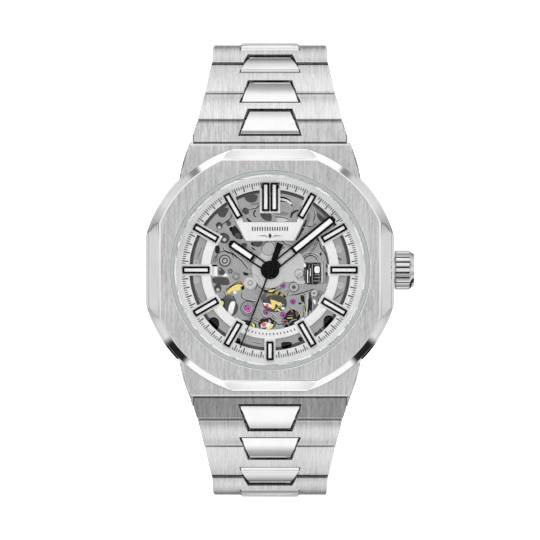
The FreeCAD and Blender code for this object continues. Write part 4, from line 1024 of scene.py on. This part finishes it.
# gilt wheels seen through the openings over floors of painted shade, and white patches where the
# movement looks bright, some of them painted highlights
gold = [
    soft([(-7.08, -3.59), (-6.61, -3.92), (-5.88, -3.25), (-5.14, -3.38), (-4.68, -3.25),
          (-4.81, -2.78), (-4.27, -2.52), (-4.94, -2.25), (-5.61, -2.38), (-6.28, -2.78)]),
    soft([(-8.1, -5.1), (-7.6, -4.9), (-7.4, -5.3), (-7.75, -6.1), (-8.0, -5.9)]),
    soft([(-3.05, -8.3), (-2.6, -8.6), (-2.35, -9.15), (-2.7, -9.35)]),
    soft([(-0.1, -4.4), (0.9, -4.55), (1.7, -5.1), (2.1, -5.8), (1.5, -6.0), (0.9, -5.3),
          (0.75, -6.3), (0.2, -6.35), (0.2, -5.3)]),
    stroke([(0.75, -6.55), (1.2, -6.3), (1.75, -6.75)], 0.3),
    stroke([(-0.3, -3.45), (0.3, -3.4), (0.75, -3.15)], 0.34),
    stroke([(-0.75, -2.95), (-0.2, -2.9), (0.2, -3.0)], 0.16),
    stroke([(-0.35, -9.55), (0.1, -9.2), (0.5, -8.75)], 0.5),
    stroke([(2.75, -7.75), (3.65, -7.72)], 0.3), stroke([(5.35, -5.5), (5.6, -5.65)], 0.22),
    stroke([(5.55, -6.1), (5.5, -6.8)], 0.18), stroke([(-6.9, -9.5), (-6.5, -9.7)], 0.3),
    stroke([(-0.8, 1.75), (-0.3, 1.95)], 0.25), stroke([(-1.8, 1.25), (-1.5, 1.5)], 0.25),
]
behind_gold = [
    sweep_ring(-5.4, -3.6, 1.35, 1.1, 305, 425),
    soft([(-0.95, -2.35), (0.2, -2.4), (0.9, -2.9), (0.75, -3.75), (-0.1, -3.8), (-1.0, -3.6)]),
    circle(3.5, -7.7, 1.12), oval(-0.65, -8.65, 1.25, 0.98),
    soft([(-8.25, -4.7), (-7.5, -4.6), (-7.2, -5.3), (-7.6, -6.35), (-8.1, -6.1)]),
    soft([(-4.2, -2.4), (-4.1, -3.1), (-4.6, -3.25), (-4.65, -2.7)]),
    soft([(-3.15, -8.1), (-2.3, -8.6), (-2.1, -9.2), (-2.8, -9.5)]),
]
slabs("window_floors", behind_gold, FOOT, MID - 0.02, "deep_shade")
slabs("balance_window", [oval(0.8, -5.4, 1.95, 1.4)], FOOT, MID + 0.02, "shade")
slabs("gilt_wheel_parts", gold, FOOT, HIGH, "gilt", 0.03, "brass_gilt")
white = [
    soft([(-6.28, -5.05), (-5.54, -5.05), (-5.74, -6.12), (-6.08, -7.26), (-6.81, -7.06),
          (-6.68, -5.99)]),
    [(-9.42, 0.56), (-8.48, 0.56), (-8.48, -0.98), (-9.42, -0.98)],
    [(-7.65, -1.05), (-7.15, -0.45), (-6.65, -1.05)],
    soft([(-5.9, -3.3), (-5.4, -3.35), (-5.45, -3.9), (-5.95, -3.7)]),
    soft([(-1.2, -5.25), (-0.3, -5.35), (0.25, -5.6), (0.2, -6.2), (-0.4, -6.0), (-0.9, -5.75)]),
    soft([(1.75, -6.0), (2.3, -5.95), (2.4, -6.3), (1.9, -6.4)]),
    # a painted highlight on a lever
    soft([(7.0, -4.7), (7.3, -4.75), (7.45, -5.4), (7.2, -5.6), (6.95, -5.1)]),
    stroke([(-1.5, -9.3), (-0.9, -9.5), (-0.6, -9.2)], 0.3),
    stroke([(-0.2, -8.0), (0.1, -8.4)], 0.25), stroke([(-8.1, 0.3), (-8.05, -0.15)], 0.12),
    oval(-0.6, -8.98, 0.92, 0.62),
]
slabs("white_patches_and_highlights", white, FOOT, HIGH - 0.03, "lume_and_highlight")

# red pallet stones, and violet stones with dark eyes in the bearings
stones = [
    circle(-0.47, -5.7, 0.24), stroke([(-0.3, -5.85), (0.1, -6.15), (0.3, -6.2)], 0.16),
    circle(-1.0, -8.8, 0.33), stroke([(-0.8, -8.65), (-0.45, -8.45), (-0.1, -8.3)], 0.15),
    circle(2.4, -8.1, 0.16), circle(3.55, -6.7, 0.15),
]
slabs("pallet_stones", stones, FOOT, HIGH + 0.03, "red", 0.03, "ruby")
bearings = [(2.12, -2.55, 0.42), (3.66, -5.11, 0.38), (2.15, -7.3, 0.38), (-0.6, -6.86, 0.37)]
balance = (-3.51, -6.25, 0.53)
slabs("bearing_stones", [circle(*stone) for stone in bearings], FOOT, HIGH + 0.06, "ruby", 0.05,
      "ruby")
slabs("bearing_eyes", [circle(x, y, 0.13) for x, y, _ in bearings + [balance]],
      HIGH, HIGH + 0.09, "gap", 0.0, "ruby")
slabs("balance_stone", [circle(*balance)], FOOT, HIGH + 0.07, "magenta", 0.06, "ruby")
# a dark ring of painted shadow round the plate's edge, under the dial's rings
slabs("plate_rim", [ring(0, 0, 12.9, 12.45, 160)], FOOT, LOW, "shade")



# ---------------------------------------------------- frames of markers and hands
def frame_of(r0, r1, width, degrees, offset=0.0, line=0.33):
    """Outer and inner outline of a bar-shaped frame with the given line width."""
    return [bar(r0, r1, width, degrees, offset),
            bar(r0 + line, r1 - line, width - 2 * line, degrees, offset)]


# the markers' frames are wider than their own black border; the extra width is painted shade round
# the markers
frames = [frame_of(9.46, 14.04, 1.2, 0, side * 0.69) for side in (-1, 1)]
frames += [frame_of(11.5, 14.5, 1.17, 180)]
frames += [frame_of(9.7, 14.1, 1.17, 30 * hour) for hour in range(1, 12) if hour != 6]
slabs("marker_frames", frames, 8.13, 8.165, "black", 0.0, "marker_black")
for hand, r0, r1, width, line, h0, h1 in (("hour", 3.5, 7.45, 1.0, 0.15, 8.275, 8.315),
                                          ("minute", 5.0, 12.87, 1.1, 0.17, 8.595, 8.635)):
    slabs(hand + "_hand_frame", [frame_of(r0, r1, width, HANDS[hand], line=line)], h0, h1,
          "black", 0.0, "hand_black", hand)


# ------------------------------------------------------------ stage and light
FLOOR_DROP = 0.25     # metres; the opened bracelet hangs well below the closed one
floor_z = cad_box[0].z - FLOOR_DROP


def sweep():
    """Pale floor running up into a backdrop; mirrors see the studio's panels instead."""
    bm = bmesh.new()
    front, depth, half_width, rise, radius, steps = -1.6, 1.8, 5.0, 3.0, 0.25, 12   # metres
    profile = [(front, 0.0), (depth, 0.0)]
    for i in range(1, steps + 1):
        a = math.radians(90 * i / steps)
        profile.append((depth + radius * math.sin(a), radius * (1 - math.cos(a))))
    profile.append((depth + radius, rise))
    rows = [[bm.verts.new((x, y, floor_z + z)) for y, z in profile]
            for x in (-half_width, half_width)]
    for i in range(len(profile) - 1):
        bm.faces.new((rows[0][i], rows[0][i + 1], rows[1][i + 1], rows[1][i]))
    obj = object_from(bm, "floor")
    obj.data.polygons.foreach_set("use_smooth", [True] * len(obj.data.polygons))
    m = Nodes("floor_paper", Roughness=0.9)
    cloud = m.noise((3.0, 3.0, 3.0), 2.0)
    m.link(m.blend(m.spread(cloud, 0.0, 1.0), grey(0.93), grey(0.95)), m.bsdf.inputs["Base Color"])
    m.bsdf.inputs["Emission Color"].default_value = (1, 1, 1, 1)
    m.bsdf.inputs["Emission Strength"].default_value = 0.6
    obj.data.materials.append(m.material)
    obj.visible_glossy = False


sweep()


def area(name, place, target, size, power):
    """A soft panel lamp that mirrors don't see."""
    data = bpy.data.lights.new(name, "AREA")
    data.shape = "RECTANGLE"
    data.size, data.size_y = size
    data.energy = power
    obj = new_object(name, data)
    obj.location = place
    obj.rotation_mode = "QUATERNION"
    obj.rotation_quaternion = (Vector(target) - Vector(place)).to_track_quat("-Z", "Y")
    obj.visible_glossy = False


area("key", (-0.12, -0.42, 0.62), (0, 0, 0), (0.42, 0.30), 2.7)


def studio(ring_stops, front_stops):
    """Soft panels round the watch, as brightness by direction.

    ring_stops go by clock angle from the top for light from the sides, and
    front_stops by height angle, -180 to 180, for light from the front.
    """
    world = bpy.data.worlds.new("studio")
    bpy.context.scene.world = world
    world.use_nodes = True
    tree = world.node_tree
    tree.nodes.clear()

    def node(kind, *inputs, **settings):
        made = tree.nodes.new(kind)
        for key, value in settings.items():
            setattr(made, key, value)
        for socket, value in zip(made.inputs, inputs):
            if isinstance(value, (int, float)):
                socket.default_value = value
            else:
                tree.links.new(value, socket)
        return made

    def calc(kind, *inputs):
        """One of the Math node's operations."""
        return node("ShaderNodeMath", *inputs, operation=kind).outputs[0]

    def ramp(value, stops, low, high):
        """Brightness along the stops; halved inside, because colours end at 1."""
        scaled = calc("DIVIDE", calc("SUBTRACT", value, low), high - low)
        made = node("ShaderNodeValToRGB", scaled)
        points = made.color_ramp.elements
        while len(points) < len(stops):
            points.new(1.0)
        for point, (where, level) in zip(points, stops):
            point.position = (where - low) / (high - low)
            point.color = (level / 2, level / 2, level / 2, 1)
        return calc("MULTIPLY", made.outputs[0], 2.0)

    split = node("ShaderNodeSeparateXYZ", node("ShaderNodeTexCoord").outputs["Generated"])
    x, y, z = split.outputs
    degrees = 180.0 / math.pi
    round_clock = calc("MULTIPLY", calc("ARCTAN2", calc("ABSOLUTE", x), z), degrees)
    height = calc("MULTIPLY", calc("ARCTAN2", z, calc("MULTIPLY", y, -1.0)), degrees)
    side = ramp(round_clock, ring_stops, 0.0, 180.0)
    front = ramp(height, front_stops, -180.0, 180.0)
    behind = node("ShaderNodeMapRange", y, 0.22, 0.75, 1.0, 0.5).outputs[0]    # dimmer there
    # share of the side panels: none for light from the front or near the middle line
    share = node("ShaderNodeMapRange", y, -0.45, -0.05, 0.0, 1.0).outputs[0]
    narrow = node("ShaderNodeMapRange", calc("ABSOLUTE", x), 0.12, 0.3, 0.0, 1.0).outputs[0]
    share = calc("MULTIPLY", share, narrow)
    level = calc("ADD", calc("MULTIPLY", calc("MULTIPLY", side, behind), share),
                 calc("MULTIPLY", front, calc("SUBTRACT", 1.0, share)))
    back = node("ShaderNodeBackground", level)
    tree.links.new(level, back.inputs["Color"])
    out = node("ShaderNodeOutputWorld")
    tree.links.new(back.outputs[0], out.inputs["Surface"])


studio([(0, 0.74), (14, 0.74), (17, 1.25), (34, 1.25), (36, 0.3), (39, 0.3), (42, 0.75), (58, 0.85),
        (74, 0.25), (80, 0.75), (100, 0.75), (108, 0.45), (116, 0.8), (123, 0.85), (126, 0.02),
        (136, 0.02), (139, 1.15), (165, 1.15), (168, 0.74), (180, 0.74)],
       [(-180, 0.6), (-160, 0.5), (-150, 0.05), (-142, 0.05), (-136, 0.45), (-128, 0.85),
        (-118, 1.05), (-108, 1.05), (-101, 0.3), (-95, 0.5), (-88, 1.1), (-70, 1.1),
        (-62, 0.5), (-34, 0.4), (-20, 0.8), (0, 1.0), (30, 1.0), (60, 1.1), (88, 1.1),
        (95, 0.5), (101, 0.3), (108, 1.05), (118, 1.05), (128, 0.85), (136, 0.45),
        (142, 0.05), (150, 0.05), (160, 0.6), (180, 0.7)])

camera = new_object("camera", bpy.data.cameras.new("camera"))
bpy.context.scene.camera = camera
DISTANCE = 0.730      # metres from the bezel's top
BEZEL_TOP = 0.0104
VIEW_WIDTH = 0.0866   # what the picture spans at the bezel's top
SENSOR = 36.0
camera.location = (0.0, -DISTANCE - BEZEL_TOP, 0.0)
camera.rotation_euler = (math.radians(90), 0, 0)
camera.data.sensor_width = SENSOR
camera.data.lens = SENSOR * DISTANCE / VIEW_WIDTH
camera.data.clip_start, camera.data.clip_end = 0.05, 10.0

bpy.context.scene.view_settings.view_transform = "Standard"
